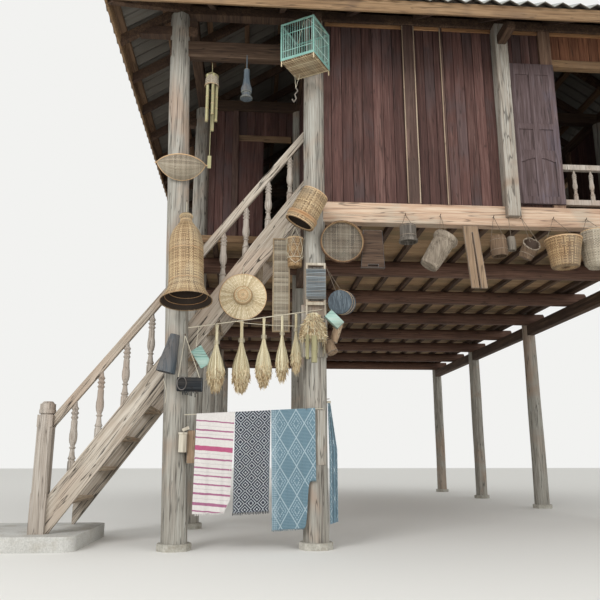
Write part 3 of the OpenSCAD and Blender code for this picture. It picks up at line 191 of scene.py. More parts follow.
# %% [markdown]
# Old hardwood left unpainted: sawn or hewn, then grey and cracked by the weather.
# The grain runs along each piece, so the noise that draws it is stretched along one axis.
# Real grain is 1 to 3 mm wide, which is under a pixel from 6 m away, so it is drawn 12 to
# 16 mm wide here. Every board carries a random number, tone, that shifts its grain and
# its shade, because no two boards come from the same tree.

# %% Weathered wood
GRAIN_MM, BAND_MM, PATCH_MM, CRACK_MM, BREAK_MM = 14, 70, 900, 55, 260
STRETCH = 26.0
TONE_SHIFT = (37.0, 19.0, 71.0)
GRAIN_TURNS = {"x": (0, math.pi / 2, 0), "y": (math.pi / 2, 0, 0), "z": (0, 0, 0)}


def weathered_wood(name, grain, colours, patch_share=0.5, cracks=0.5, tone_range=0.35, tilt=0.0):
    """Grain from heart to face to bleached, patches of another tone, and long dry cracks."""
    heart, face, bleached, patch = colours.split()
    material, tree = new_finish(name)
    place = add(tree, "ShaderNodeTexCoord", output="Object")
    if tilt:
        place = add(tree, "ShaderNodeVectorRotate", {"Vector": place, "Axis": (0, 1, 0),
                                                     "Angle": tilt})
    turned = add(tree, "ShaderNodeMapping", {"Vector": place, "Rotation": GRAIN_TURNS[grain]})
    tone = add(tree, "ShaderNodeAttribute", output="Fac", attribute_name="tone")
    shift = add(tree, "ShaderNodeCombineXYZ",
                {axis: tone * offset for axis, offset in zip("XYZ", TONE_SHIFT)})
    moved = add(tree, "ShaderNodeVectorMath", {0: turned, 1: shift}, operation="ADD")
    squeezed = add(tree, "ShaderNodeVectorMath", {0: moved, 1: (1, 1, 1 / STRETCH)},
                   operation="MULTIPLY")

    fine, bands, splits, blotch, breaks = (
        add(tree, "ShaderNodeTexNoise", {
            "Vector": where, "Scale": 1000.0 / size_mm, "Detail": detail, "Roughness": rough,
            "Distortion": distortion}, "Fac")
        for where, size_mm, detail, rough, distortion in (
            (squeezed, GRAIN_MM, 4.0, 0.6, 0.4), (squeezed, BAND_MM, 2.0, 0.5, 0.8),
            (squeezed, CRACK_MM, 2.0, 0.5, 1.4), (moved, PATCH_MM, 3.0, 0.6, 0.6),
            (moved, BREAK_MM, 2.0, 0.55, 0.0)))
    streaks = add(tree, "ShaderNodeValToRGB", {"Fac": fine * 0.62 + bands * 0.38},
                  stops=[(0.30, heart), (0.50, face), (0.68, bleached)])
    edge = 0.62 - 0.3 * patch_share
    covered = add(tree, "ShaderNodeMapRange", {
        "Value": fine * 0.25 + blotch + -0.12, "From Min": edge, "From Max": edge + 0.12,
        "To Min": 0.0, "To Max": patch_share + 0.3})
    patched = add(tree, "ShaderNodeMix", {0: covered, 6: streaks, 7: patch}, 2, data_type="RGBA")
    toned = shaded(patched, tone * tone_range + (1 - tone_range / 2))
    crack = add(tree, "ShaderNodeMapRange", {
        "Value": breaks * -0.02 + (splits - 0.5).math("ABSOLUTE"), "From Min": -0.004,
        "From Max": 0.012, "To Min": cracks, "To Max": 0.0})
    cracked = add(tree, "ShaderNodeMix", {0: crack, 6: toned, 7: "#1F1A16"}, 2, data_type="RGBA")
    end_finish(tree, cracked, fine * -0.18 + 0.91, 0.28, fine * 0.5 + crack * -1.6, 0.8, 1.2)
    return material


STAIR_TILT = math.atan(0.288 / 0.214)
LOG = weathered_wood("hewn hardwood log, grey and cracked", "z",
                     "#6E655C #98948B #B1B0A8 #9E8572", 0.34, 0.62, 0.10)
POST = weathered_wood("sawn hardwood post, grey", "z",
                      "#7C6C5E #9E978C #BAB8B0 #8E7561", 0.30, 0.6, 0.20)
RIM = weathered_wood("planed hardwood rim beam, sun faded", "x",
                     "#9C7D67 #BA9E87 #CCBAA4 #ABA191", 0.30, 0.6, 0.12)
BEAM_X = weathered_wood("rough sawn beam, smoke brown, along the front", "x",
                        "#2F241D #4C3B2F #655344 #3F2F27", 0.4, 0.6, 0.35)
BEAM_Y = weathered_wood("rough sawn beam, smoke brown, front to back", "y",
                        "#2F241D #503D30 #6C5745 #3F2F27", 0.4, 0.6, 0.35)
GIRDER = weathered_wood("hewn girder log, red brown", "x",
                        "#443028 #63493D #7D6151 #503A30", 0.3, 0.6, 0.25)
PLANK = weathered_wood("red brown wall plank, dry and matt", "z",
                       "#392624 #533A35 #6B524C #4A3F3F", 0.35, 0.5, 0.50)
FLOOR = weathered_wood("tan floor board, underside bare", "x",
                       "#82674C #9D8061 #B39978 #76684C", 0.4, 0.4, 0.35)
TRIM_Z = weathered_wood("yellow brown planed board, upright", "z",
                        "#5C4538 #7A6151 #967D67 #665243", 0.4, 0.5, 0.30)
TRIM_X = weathered_wood("yellow brown planed board, level", "x",
                        "#694E3A #8B7053 #A68A6B #745E4B", 0.4, 0.5, 0.30)
TRIM_Y = weathered_wood("yellow brown planed board, front to back", "y",
                        "#5C4534 #80654E #9C8369 #695443", 0.4, 0.5, 0.30)
DARK_TRIM = weathered_wood("dark brown planed stud, dry", "z",
                           "#3D2C26 #57433C #765F56 #4A3B35", 0.3, 0.5, 0.35)
STAIR = weathered_wood("sun bleached plank, along the stair", "x",
                       "#7F7263 #ADA294 #C7BFB3 #A6917F", 0.3, 0.9, 0.15, tilt=STAIR_TILT)
TREAD = weathered_wood("sun bleached tread board", "y",
                       "#7F6B59 #A9967F #C4B5A0 #9C7D60", 0.3, 0.7, 0.25)
TURNED = weathered_wood("turned hardwood, bare", "z",
                        "#8B7F72 #B1A79C #CBC5BC #A08978", 0.3, 0.5, 0.20)
# The leaf is a slate brown stain, drawn darker than the stain alone as painted shade: the shutter
# is in shade.
SHADED_LEAF = weathered_wood("shutter leaf, old brown stain gone slate", "z",
                      "#403331 #5A4B4B #76696B #534E5A", 0.5, 0.5, 0.25)
RAIL = weathered_wood("planed rail under the eave, orange brown", "x",
                      "#6E4D38 #99704B #B48E69 #7F5E43", 0.4, 0.5, 0.25)
WARM_PLANK = weathered_wood("orange brown board over the window, dry", "z",
                            "#4E3125 #744C38 #94674B #5E4131", 0.35, 0.5, 0.40)
PALE_EDGE = weathered_wood("cover strip, worn pale along its edge", "z",
                           "#7A6957 #A08D78 #BEAD98 #8B7865", 0.3, 0.4, 0.2)
print("wood finishes:", len([m for m in bpy.data.materials if m.use_nodes]))

# %% [markdown]
# The roofing is fibre cement: a pale grey mineral sheet, matt, that darkens along its waves
# where water runs. At each lap a dark band is painted shadow, where the sheet above shades
# the one below. The stones are rough field stones and the stair's foot is cast concrete,
# trowelled and worn at its edge.

# %% Mineral finishes
BROAD_MM, STREAK_MM = 700, 160
LAP_M, LAP_SHADOW = 0.92, 0.035


def mineral(name, colours, grain_mm, stain_share, relief_mm, run_down=None, lap_axis=None):
    """A stony surface with speckle and broad stains. Roofing also has streaks down its
    slope, a painted shadow band at each lap and a smoked underside."""
    dark, body, light, stain = colours.split()
    material, tree = new_finish(name)
    place = add(tree, "ShaderNodeTexCoord", output="Object")
    streak_place = place
    if run_down:
        streak_place = add(tree, "ShaderNodeMapping", {"Vector": place, "Scale": run_down})
    speckle, broad, streaks = (
        add(tree, "ShaderNodeTexNoise", {
            "Vector": where, "Scale": 1000.0 / size_mm, "Detail": detail, "Roughness": rough,
            "Distortion": distortion}, "Fac")
        for where, size_mm, detail, rough, distortion in (
            (place, grain_mm, 5.0, 0.65, 0.0), (place, BROAD_MM, 4.0, 0.6, 0.5),
            (streak_place, STREAK_MM, 4.0, 0.6, 0.3)))
    ground = add(tree, "ShaderNodeValToRGB", {"Fac": speckle * 0.55 + broad * 0.45},
                 stops=[(0.32, dark), (0.5, body), (0.66, light)])
    covered = add(tree, "ShaderNodeMapRange", {
        "Value": streaks, "From Min": 0.50, "From Max": 0.68, "To Min": 0.0,
        "To Max": stain_share})
    colour = add(tree, "ShaderNodeMix", {0: covered, 6: ground, 7: stain}, 2, data_type="RGBA")
    if lap_axis:
        # Painted shadow: a dark band at each lap, where the sheet above shades the one below.
        down_slope = add(tree, "ShaderNodeSeparateXYZ", {"Vector": place}, lap_axis)
        lap = add(tree, "ShaderNodeMapRange", {
            "Value": (down_slope / LAP_M).math("FRACT"), "From Min": 0.0,
            "From Max": LAP_SHADOW, "To Min": 0.65, "To Max": 0.0})
        facing = add(tree, "ShaderNodeNewGeometry", output="Normal")
        upward = add(tree, "ShaderNodeSeparateXYZ", {"Vector": facing}, "Z") > 0.0
        lap_shaded = add(tree, "ShaderNodeMix", {0: lap, 6: colour, 7: "#4E4F4B"}, 2,
                     data_type="RGBA")
        smoked = add(tree, "ShaderNodeMix", {0: 0.78, 6: lap_shaded, 7: "#50463B"}, 2,
                     data_type="RGBA")
        colour = add(tree, "ShaderNodeMix", {0: upward, 6: smoked, 7: lap_shaded}, 2,
                     data_type="RGBA")
    end_finish(tree, colour, 0.88, 0.3, speckle, 0.7, relief_mm)
    return material


SHEET_COLOURS = "#8D8F8B #A9ACA8 #C0C2BE #6F7069"
STONE = mineral("rough field stone", "#7F7A70 #A9A69C #C4C0B7 #7A705E", 22, 0.5, 3.0)
CONCRETE = mineral("cast concrete, trowelled and worn", "#A09F9A #C0BFBA #D3D2CE #9E9687",
                   14, 0.45, 1.5)
SHEET_END = mineral("fibre cement sheet, end slopes", SHEET_COLOURS, 9, 0.55, 0.8,
                    (4.0, 0.35, 0.35), "Y")
SHEET_SIDE = mineral("fibre cement sheet, side slopes", SHEET_COLOURS, 9, 0.55, 0.8,
                     (0.35, 4.0, 0.35), "X")
print("mineral finishes: 4")

# %% [markdown]
# The frame's timbers have knife-sharp edges, which no old beam has. Each one is copied,
# its triangles are merged back into flat faces, and its edges are rounded by a few
# millimetres. The copies replace the frame's own meshes, which are never changed.

# %% Worn copies of the frame's timbers
random_numbers = np.random.default_rng(7224)
SHARP = math.radians(35)


def merged_copy(node):
    """The node's mesh as a bmesh with whole flat faces, one loose part for each timber."""
    shape = bmesh.new()
    shape.from_mesh(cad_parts[node].data)
    bmesh.ops.remove_doubles(shape, verts=shape.verts, dist=0.05 * MM)
    bmesh.ops.dissolve_limit(shape, angle_limit=math.radians(1), verts=shape.verts,
                             edges=shape.edges)
    return shape


def loose_parts(shape):
    """Lists of the vertices of each connected part."""
    shape.verts.ensure_lookup_table()
    seen_verts, parts = set(), []
    for start in shape.verts:
        if start in seen_verts:
            continue
        stack, part = [start], []
        seen_verts.add(start)
        while stack:
            vert = stack.pop()
            part.append(vert)
            for edge in vert.link_edges:
                other = edge.other_vert(vert)
                if other not in seen_verts:
                    seen_verts.add(other)
                    stack.append(other)
        parts.append(part)
    return parts


def middle_of(part):
    return sum((vert.co for vert in part), Vector()) / len(part)


def part_boxes(node):
    """Low and high corner of each timber in a node, in a fixed order."""
    shape = merged_copy(node)
    clouds = [np.array([vert.co for vert in part]) for part in loose_parts(shape)]
    shape.free()
    boxes = [(points.min(0), points.max(0)) for points in clouds]
    return sorted(boxes, key=lambda box: tuple(np.round(box[0], 3)))


def give_tones(shape):
    """A random tone for each loose part, which the wood finishes read."""
    layer = shape.verts.layers.float.new("tone")
    for part in loose_parts(shape):
        tone = float(random_numbers.random())
        for vert in part:
            vert[layer] = tone


def as_mesh(shape, name="part"):
    """A mesh from a bmesh, which is used up."""
    mesh = bpy.data.meshes.new(name)
    shape.to_mesh(mesh)
    shape.free()
    return mesh


def take_up(shape, mesh):
    """Adds a mesh to a bmesh; the mesh is used up."""
    shape.from_mesh(mesh)
    bpy.data.meshes.remove(mesh)


def to_object(name, shape, material, slot, smooth_angle=None):
    """A piece of the scene from a bmesh, which rides on the body."""
    mesh = as_mesh(shape, name)
    mesh.materials.append(material)
    piece = in_scene(name, mesh)
    if smooth_angle is not None:
        mesh.shade_smooth()
        mesh.set_sharp_from_angle(angle=math.radians(smooth_angle))
    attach(piece, BODY)
    return piece


def worn(node, edge_mm, finishes, slot, shape=None):
    """A copy of a node with rounded edges, which replaces it. Finishes is one finish, or a
    list of places and finishes, of which each timber takes the nearest."""
    if not isinstance(finishes, list):
        finishes = [(Vector(), finishes)]
    kinds = list(dict.fromkeys(finish for _, finish in finishes))
    shape = shape or merged_copy(node)
    give_tones(shape)
    for part in loose_parts(shape):
        middle = middle_of(part)
        finish = min(finishes, key=lambda entry: (entry[0] - middle).length)[1]
        for vert in part:
            for face in vert.link_faces:
                face.material_index = kinds.index(finish)
    sharp = [edge for edge in shape.edges if edge.is_manifold and edge.calc_face_angle(0) > SHARP]
    bmesh.ops.bevel(shape, geom=sharp, offset=edge_mm * MM, segments=2, profile=0.6,
                    affect="EDGES", clamp_overlap=True)
    piece = to_object(node + "_worn", shape, kinds[0], slot, 50)
    for other in kinds[1:]:
        piece.data.materials.append(other)
    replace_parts(piece, node)
    return piece


WORN = [
    ("floor_bearers", 7, BEAM_Y, "beam_wood"), ("floor_girders", 5, GIRDER, "beam_wood"),
    ("floor_joists", 4, BEAM_Y, "beam_wood"), ("front_rim_beam", 9, RIM, "beam_wood"),
    ("stair_head_beam", 6, BEAM_Y, "beam_wood"), ("wall_sills", 5, BEAM_Y, "beam_wood"),
    ("gallery_edge_board", 3, TRIM_X, "trim_wood"), ("gallery_door_leaf", 3, PLANK, "plank_wood"),
    ("front_post", 7, POST, "log_wood"), ("wall_studs", 4, DARK_TRIM, "trim_wood"),
    ("window_jambs", 4, TRIM_Z, "trim_wood"), ("window_lintels", 4, TRIM_X, "trim_wood"),
    ("top_rails", 3, RAIL, "trim_wood"), ("wall_plates", 5, BEAM_Y, "beam_wood"),
    ("stair_bay_tie", 6, BEAM_X, "beam_wood"), ("tie_beams", 5, BEAM_X, "beam_wood"),
    ("ridge_beam", 5, BEAM_Y, "beam_wood"), ("eave_outriggers", 6, BEAM_Y, "beam_wood"),
    ("rafters", 3, BEAM_Y, "beam_wood"), ("hip_rafters", 4, BEAM_Y, "beam_wood"),
    ("roof_battens", 3, TRIM_Y, "trim_wood"), ("eave_fascia", 3, TRIM_X, "trim_wood"),
    ("stair_stringers", 6, STAIR, "stair_wood"), ("stair_treads", 6, TREAD, "stair_wood"),
    ("stair_handrail", 9, STAIR, "stair_wood"),
]
for node, edge_mm, finish, slot in WORN:
    worn(node, edge_mm, finish, slot)
print("worn timbers:", len(WORN))

# %% [markdown]
# A log column is hewn round by eye: it tapers, its sides are slightly flat and wavy, and as
# it dried it split along the grain. The shape is a stack of rings, and each ring's radius is
# the frame's taper less the hollows of hewing and the depth of the cracks at that height.

# %% Log columns
LOG_SIDES, LOG_CRACKS = 84, 7
RING_STEP, RING_STEP_BACK = 0.07, 0.16
FOOT_RADIUS, HEAD_RADIUS, FULL_HEAD_Z = 0.120, 0.100, 5.34
HEWN, WAVY, BUMPY, CRACK_END = 0.0022, 0.0030, 0.0016, 0.25
LEFT_COLUMN_LEAN = math.radians(1.72)


def crack_plan(generator, height):
    """Cracks of one log: angle, drift with height, where it starts and ends, depth, width."""
    plan = []
    for _ in range(LOG_CRACKS):
        low = generator.uniform(0, height * 0.75)
        plan.append((generator.uniform(0, FULL_TURN), generator.uniform(-0.10, 0.10), low,
                     low + generator.uniform(0.5, 2.6), generator.uniform(0.004, 0.013),
                     generator.uniform(0.030, 0.055)))
    return plan


def log_radius(angle, z, base, phases, cracks):
    """The radius at one angle and height; 4 mm smaller than the frame's, all round."""
    hewn = HEWN * math.cos(7 * angle + phases[0] + 0.5 * math.sin(z * 1.3))
    wavy = WAVY * math.sin(2 * angle + phases[1] + z * 1.1)
    bumpy = BUMPY * math.sin(3 * angle - z * 4.1 + phases[2])
    depth = 0.0
    for centre, drift, low, high, deep, wide in cracks:
        if low < z < high:
            away = abs((angle - centre - drift * (z - low) + math.pi) % FULL_TURN - math.pi)
            ends = min(z - low, high - z, CRACK_END) / CRACK_END
            depth = max(depth, deep * ends * (1 - away / wide))
    return base - 0.004 + hewn + wavy + bumpy - depth


def log_shape(foot, head, seed, step):
    """A hewn log between two points, as a closed bmesh."""
    generator = np.random.default_rng(seed)
    phases = generator.uniform(0, FULL_TURN, 3)
    height = head.z - foot.z
    cracks = crack_plan(generator, height)
    rings = max(8, round(height / step))
    shape = bmesh.new()
    tone = shape.verts.layers.float.new("tone")
    shade = float(generator.random())
    loops = []
    for ring in range(rings + 1):
        share = ring / rings
        middle = foot.lerp(head, share)
        base = FOOT_RADIUS + (HEAD_RADIUS - FOOT_RADIUS) * share
        loop = []
        for side in range(LOG_SIDES):
            angle = FULL_TURN * side / LOG_SIDES
            radius = log_radius(angle, share * height, base, phases, cracks)
            loop.append(shape.verts.new((middle.x + radius * math.cos(angle),
                                         middle.y + radius * math.sin(angle), middle.z)))
            loop[-1][tone] = shade
        loops.append(loop)
    for lower, upper in zip(loops, loops[1:]):
        for side in range(LOG_SIDES):
            after = (side + 1) % LOG_SIDES
            shape.faces.new((lower[side], lower[after], upper[after], upper[side]))
    shape.faces.new(list(reversed(loops[0])))
    shape.faces.new(loops[-1])
    return shape


def hew_columns(node, step):
    """Logs over the foot rings of a node's columns; returns how many faces they have."""
    source, whole = merged_copy(node), bmesh.new()
    lean = LEFT_COLUMN_LEAN if node == "front_left_column" else 0.0
    for number, part in enumerate(loose_parts(source)):
        points = np.array([vert.co for vert in part])
        low = points[:, 2].min()
        ring = points[points[:, 2] < low + 0.002]
        x, y, _ = (ring.min(0) + ring.max(0)) / 2
        head = Vector((x - (FULL_HEAD_Z - low) * math.tan(lean), y, FULL_HEAD_Z))
        log = log_shape(Vector((x, y, low)), head, len(node) * 31 + number, step)
        take_up(whole, as_mesh(log))
    source.free()
    piece = to_object(node + "_log", whole, LOG, "log_wood", 60)
    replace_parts(piece, node)
    return len(piece.data.polygons)


print("log columns:", sum(hew_columns(node, step) for node, step in (
    ("front_left_column", RING_STEP), ("stair_head_column", RING_STEP),
    ("front_right_column", RING_STEP), ("house_columns", RING_STEP_BACK))), "faces")

# %% [markdown]
# The walls are upright planks, side by side in grooves. The frame has each stretch of
# wall as one slab, so the planks are laid over each slab's box by Geometry Nodes: a row of
# boards with a small gap, each a little in or out and a little askew. The same tree lays
# the floor boards, which show from below between the joists.

# %% Helpers to build and to run a geometry tree
SOCKETS = {float: "NodeSocketFloat", int: "NodeSocketInt"}


def new_tree(name, sizes):
    """A geometry node group with inputs for a starting mesh, for each size and a material."""
    tree = bpy.data.node_groups.new(name, "GeometryNodeTree")
    kinds = {"Mesh": "NodeSocketGeometry", **{label: SOCKETS[type(size)] for label, size
                                              in sizes.items()}, "Material": "NodeSocketMaterial"}
    for label, kind in kinds.items():
        item = tree.interface.new_socket(name=label, in_out="INPUT", socket_type=kind)
        if label in sizes:
            item.default_value = sizes[label]
    tree.interface.new_socket(name="Geometry", in_out="OUTPUT", socket_type=kinds["Mesh"])
    outputs = tree.nodes.new("NodeGroupInput").outputs
    return tree, {label: Value(tree, outputs[label]) for label in kinds}


def end_tree(geometry, material):
    """The last steps of every tree: real geometry instead of copies, then a material."""
    tree = geometry.tree
    real = add(tree, "GeometryNodeRealizeInstances", {"Geometry": geometry})
    dressed = add(tree, "GeometryNodeSetMaterial", {"Geometry": real, "Material": material})
    add(tree, "NodeGroupOutput", {"Geometry": dressed})


def grow(tree, values, start=None):
    """Runs a tree with the given inputs, on a starting mesh if it takes one."""
    carrier = in_scene("carrier", start or bpy.data.meshes.new("carrier"))
    modifier = carrier.modifiers.new("grow", "NODES")
    modifier.node_group = tree
    for item in tree.interface.items_tree:
        if item.in_out == "INPUT" and item.name in values:
            modifier[item.identifier] = values[item.name]
    bpy.context.view_layer.update()
    evaluated = carrier.evaluated_get(bpy.context.evaluated_depsgraph_get())
    mesh = bpy.data.meshes.new_from_object(evaluated)
    bpy.data.objects.remove(carrier)
    return mesh


def toned(copies, seed):
    """A random tone on each copy, which its finish reads."""
    tone = add(seed.tree, "FunctionNodeRandomValue", {2: 0.0, 3: 1.0, "Seed": seed}, 1,
               data_type="FLOAT")
    return add(seed.tree, "GeometryNodeStoreNamedAttribute", {
        "Geometry": copies, "Name": "tone", "Value": tone}, data_type="FLOAT", domain="INSTANCE")


# %% A tree that lays a run of boards
boards, given = new_tree("run of boards", {
    "Length": 2.0, "Height": 2.0, "Thickness": 0.03, "Gap": 0.003, "Unevenness": 0.002,
    "Askew": 0.004, "Count": 18, "Seed": 1})
pitch, seed = given["Length"] / given["Count"], given["Seed"]
turn, push = (add(boards, "FunctionNodeRandomValue", {2: -1.0, 3: 1.0, "Seed": seed + more}, 1,
                  data_type="FLOAT") for more in (0, 11))
step, start, size, askew, off = (
    add(boards, "ShaderNodeCombineXYZ", parts) for parts in (
        {"X": pitch}, {"X": pitch * 0.5, "Z": given["Height"] * 0.5},
        {"X": pitch - given["Gap"], "Y": given["Thickness"], "Z": given["Height"]},
        {"Z": turn * given["Askew"]}, {"Y": push * given["Unevenness"]}))
line = add(boards, "GeometryNodeMeshLine", {
    "Count": given["Count"], "Offset": step, "Start Location": start})
board = add(boards, "GeometryNodeMeshCube", {"Size": size})
run = add(boards, "GeometryNodeInstanceOnPoints", {
    "Points": line, "Instance": board, "Rotation": askew})
shifted = add(boards, "GeometryNodeTranslateInstances", {"Instances": run, "Translation": off})
end_tree(toned(shifted, seed + 23), given["Material"])


def laid_boards(size, order, material, count, seed, gap, unevenness, askew=0.004):
    """A run of boards in a box. The order names the box's axes that the run's length, the
    boards' thickness and their height lie along."""
    length, thickness, height = (float(size[axis]) for axis in order)
    mesh = grow(boards, {"Length": length, "Height": height, "Thickness": thickness, "Gap": gap,
                         "Unevenness": unevenness, "Askew": askew, "Count": count, "Seed": seed,
                         "Material": material})
    rows = [[float(axis == order[k]) for k in range(3)] + [0] for axis in range(3)]
    mesh.transform(Matrix(rows + [[0, 0, 0, 1]]))
    return mesh


# %% Lay planks and floor boards over the frame's slabs
PLANK_WIDTH, FLOOR_WIDTH, BOARD_EDGE = 0.108, 0.145, 0.002


def lay_boards(node, board_width, material, slot, gap_mm, uneven_mm):
    """Boards over every slab of a node, which they replace."""
    whole, laid = bmesh.new(), 0
    for number, (low, high) in enumerate(part_boxes(node)):
        size = high - low
        if size[2] < 0.1:
            order = (1, 2, 0)
        else:
            order = (0, 1, 2) if size[1] < size[0] else (1, 0, 2)
        count = max(1, round(float(size[order[0]]) / board_width))
        mesh = laid_boards(size, order, material, count, 100 * number + len(node), gap_mm * MM,
                           uneven_mm * MM)
        start = Vector(low)
        start[order[1]] = ((low + high) / 2)[order[1]]
        mesh.transform(Matrix.Translation(start))
        take_up(whole, mesh)
        laid += count
    for face in whole.faces:
        face.material_index = 0
    bmesh.ops.recalc_face_normals(whole, faces=whole.faces)
    bmesh.ops.bevel(whole, geom=whole.edges[:], offset=BOARD_EDGE, segments=1,
                    affect="EDGES", clamp_overlap=True)
    piece = to_object(node + "_boards", whole, material, slot, 40)
    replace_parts(piece, node)
    print(node, laid, "boards")
    return piece


walls = [lay_boards(node, PLANK_WIDTH, PLANK, "plank_wood", 4, 2.5) for node in (
    "front_wall", "left_wall", "right_wall", "rear_wall", "cross_wall", "gallery_wall")]
for node in ("floor_boards", "gallery_floor"):
    lay_boards(node, FLOOR_WIDTH, FLOOR, "trim_wood", 5, 0.5)

# %% [markdown]
# Over the front window the boards are a warmer brown than the rest of the wall, as if they
# had been put in later. On the studs a strip along one edge is worn pale.

# %% Warm boards and pale edges
OVER_WINDOW_X, OVER_WINDOW_Z = 3.38, 4.85
STRIP_WIDTH, STRIP_PROUD, STRIP_INSET, WIDE_STUD = 0.011, 0.004, 0.01, 0.1
front_wall = walls[0].data
front_wall.materials.append(WARM_PLANK)
for polygon in front_wall.polygons:
    polygon.material_index = int(polygon.center.x > OVER_WINDOW_X
                                 and polygon.center.z > OVER_WINDOW_Z)


def block(shape, low, high):
    """Adds a box between two corners to a bmesh."""
    middle, size = (Vector(low) + Vector(high)) / 2, Vector(high) - Vector(low)
    for vert in bmesh.ops.create_cube(shape, size=1.0)["verts"]:
        vert.co = Vector([m + c * s for m, c, s in zip(middle, vert.co, size)])


front_studs = [(low, high) for low, high in part_boxes("wall_studs")
               if low[1] < 0.1 and high[2] - low[2] > 1.0]
edge_places = [(low[0] - 0.002, low, high) for low, high in front_studs]
edge_places += [(high[0] - 0.009, low, high) for low, high in front_studs
                if high[0] - low[0] > WIDE_STUD]
strips = bmesh.new()
for edge_x, low, high in edge_places:
    block(strips, (edge_x, low[1] - STRIP_PROUD, low[2] + STRIP_INSET),
          (edge_x + STRIP_WIDTH, low[1] + STRIP_PROUD, high[2] - STRIP_INSET))
give_tones(strips)
bmesh.ops.bevel(strips, geom=strips.edges[:], offset=1.2 * MM, segments=1, affect="EDGES")
to_object("pale_stud_edges", strips, PALE_EDGE, "trim_wood", 40)
print("pale edges:", len(edge_places))

# %% [markdown]
# The goods that hang on the front are woven, tied and turned by hand. Bamboo and rattan
# are split into flat strands, and each strand runs over one stake and under the next. A
# strand is therefore drawn as a line of points with its own width, and one tree sweeps all
# the lines into flat, crowned strands, pushed out or in at each crossing. Strands of 8 to
# 14 mm are drawn where the real ones are 4 to 8 mm, which 6 m away would not show.

# %% A tree that sweeps lines into flat strands
strands, given = new_tree("flat strands", {"Flatness": 0.3, "Depth": 0.003})
lines = add(strands, "GeometryNodeMeshToCurve", {"Mesh": given["Mesh"]})
over, width = (add(strands, "GeometryNodeInputNamedAttribute", {"Name": name}, data_type="FLOAT")
               for name in ("over", "width"))
out_way = add(strands, "GeometryNodeInputNamedAttribute", {"Name": "out"},
              data_type="FLOAT_VECTOR")
push = add(strands, "ShaderNodeVectorMath", {0: out_way, "Scale": over * given["Depth"]},
           operation="SCALE")
pushed = add(strands, "GeometryNodeSetPosition", {"Geometry": lines, "Offset": push})
faced = add(strands, "GeometryNodeSetCurveNormal", {"Curve": pushed, "Normal": out_way},
            mode="FREE")
square = add(strands, "GeometryNodeCurvePrimitiveCircle", {"Resolution": 4, "Radius": 0.5})
flat = add(strands, "ShaderNodeCombineXYZ", {"X": given["Flatness"], "Y": 1.0, "Z": 1.0})
lens = add(strands, "GeometryNodeTransform", {"Geometry": square, "Scale": flat})
swept = add(strands, "GeometryNodeCurveToMesh", {
    "Curve": faced, "Profile Curve": lens, "Scale": width, "Fill Caps": True})
end_tree(swept, given["Material"])

# %% Lines of points, as a mesh that the trees can start from
TONE_SEED = 5


def set_values(mesh, name, values):
    """A named value, or a vector, on each point of a mesh."""
    is_vector = len(np.shape(values)) == 2
    attribute = mesh.attributes.new(name, "FLOAT_VECTOR" if is_vector else "FLOAT", "POINT")
    attribute.data.foreach_set("vector" if is_vector else "value", np.ravel(values))


def line_mesh(lines, generator):
    """One mesh of edges from lines of (points, outward ways, over, width, closed)."""
    points, edges, out, over, width, tone = [], [], [], [], [], []
    for where, ways, overs, wide, closed in lines:
        first, count = len(points), len(where)
        points += [tuple(p) for p in where]
        out += [tuple(w) for w in ways]
        over += list(np.broadcast_to(overs, count))
        width += list(np.broadcast_to(wide, count))
        tone += [float(generator.random())] * count
        edges += [(first + k, first + k + 1) for k in range(count - 1)]
        if closed:
            edges.append((first + count - 1, first))
    mesh = bpy.data.meshes.new("lines")
    mesh.from_pydata(points, edges, [])
    for name, values in (("over", over), ("width", width), ("tone", tone), ("out", out)):
        set_values(mesh, name, values)
    return mesh


def woven(lines, flatness, depth, material):
    """Flat strands along lines, each with its own tone."""
    return grow(strands, {"Flatness": flatness, "Depth": depth, "Material": material},
                line_mesh(lines, rng))


def aim(place, way):
    """Stands a thing up along a way from a place, its own axis being +Z."""
    way = Vector(way).normalized()
    return (Matrix.Translation(Vector(place)) @ Matrix.Rotation(math.atan2(way[1], way[0]), 4, "Z")
            @ Matrix.Rotation(math.acos(way[2]), 4, "Y"))


def at(x, y, z, degrees=0.0, axis="Z"):
    """Moves a thing to a place, after a turn about one of its own axes."""
    return Matrix.Translation((x, y, z)) @ Matrix.Rotation(math.radians(degrees), 4, axis)


def moved(mesh, place):
    mesh.transform(place)
    return mesh


def piece_from(name, parts, material, slot, smooth_angle=60, place=None):
    """One piece from several plain meshes, each of which is used up."""
    shape = bmesh.new()
    for mesh in parts:
        take_up(shape, moved(mesh, place) if place else mesh)
    for face in shape.faces:
        face.material_index = 0
    bmesh.ops.recalc_face_normals(shape, faces=shape.faces)
    piece = to_object(name, shape, material, slot, smooth_angle)
    print(name, sum(len(p.vertices) - 2 for p in piece.data.polygons), "triangles")
    return piece


# %% [markdown]
# A round basket is rings of strand round a ring of stakes. Its outline from the middle of
# the bottom to the mouth is walked at an even step, one step to a ring, and each ring has
# one point for each stake. Behind the strands a thin lining closes the gaps; it is painted
# near black as shade, for the shade inside the basket.

# %% Round woven shells
def turned_round(radius, turn, height):
    """Points at a radius, at an angle and at a height; each is one number or many."""
    return np.stack(np.broadcast_arrays(radius * np.cos(turn), radius * np.sin(turn), height), 1)


def circle(radius, height, count=64):
    """Points of a level ring round the Z axis."""
    return turned_round(radius, np.arange(count) * 2 * math.pi / count, height)


def walk(outline, step):
    """Even steps along an outline of (height, radius): heights, radii and outward ways."""
    line = np.array(outline, float)
    along = np.concatenate([[0], np.cumsum(np.hypot(*np.diff(line, axis=0).T))])
    steps = np.linspace(0, along[-1], max(2, int(round(along[-1] / step)) + 1))
    heights, radii = (np.interp(steps, along, line[:, k]) for k in (0, 1))
    rise, spread = np.gradient(heights), np.gradient(radii)
    size = np.hypot(rise, spread)
    return heights, radii, rise / size, -spread / size


def over_under(count, start):
    """1 and -1 by turns, for the crossings of one strand."""
    return np.where((np.arange(count) + start) % 2, 1, -1)


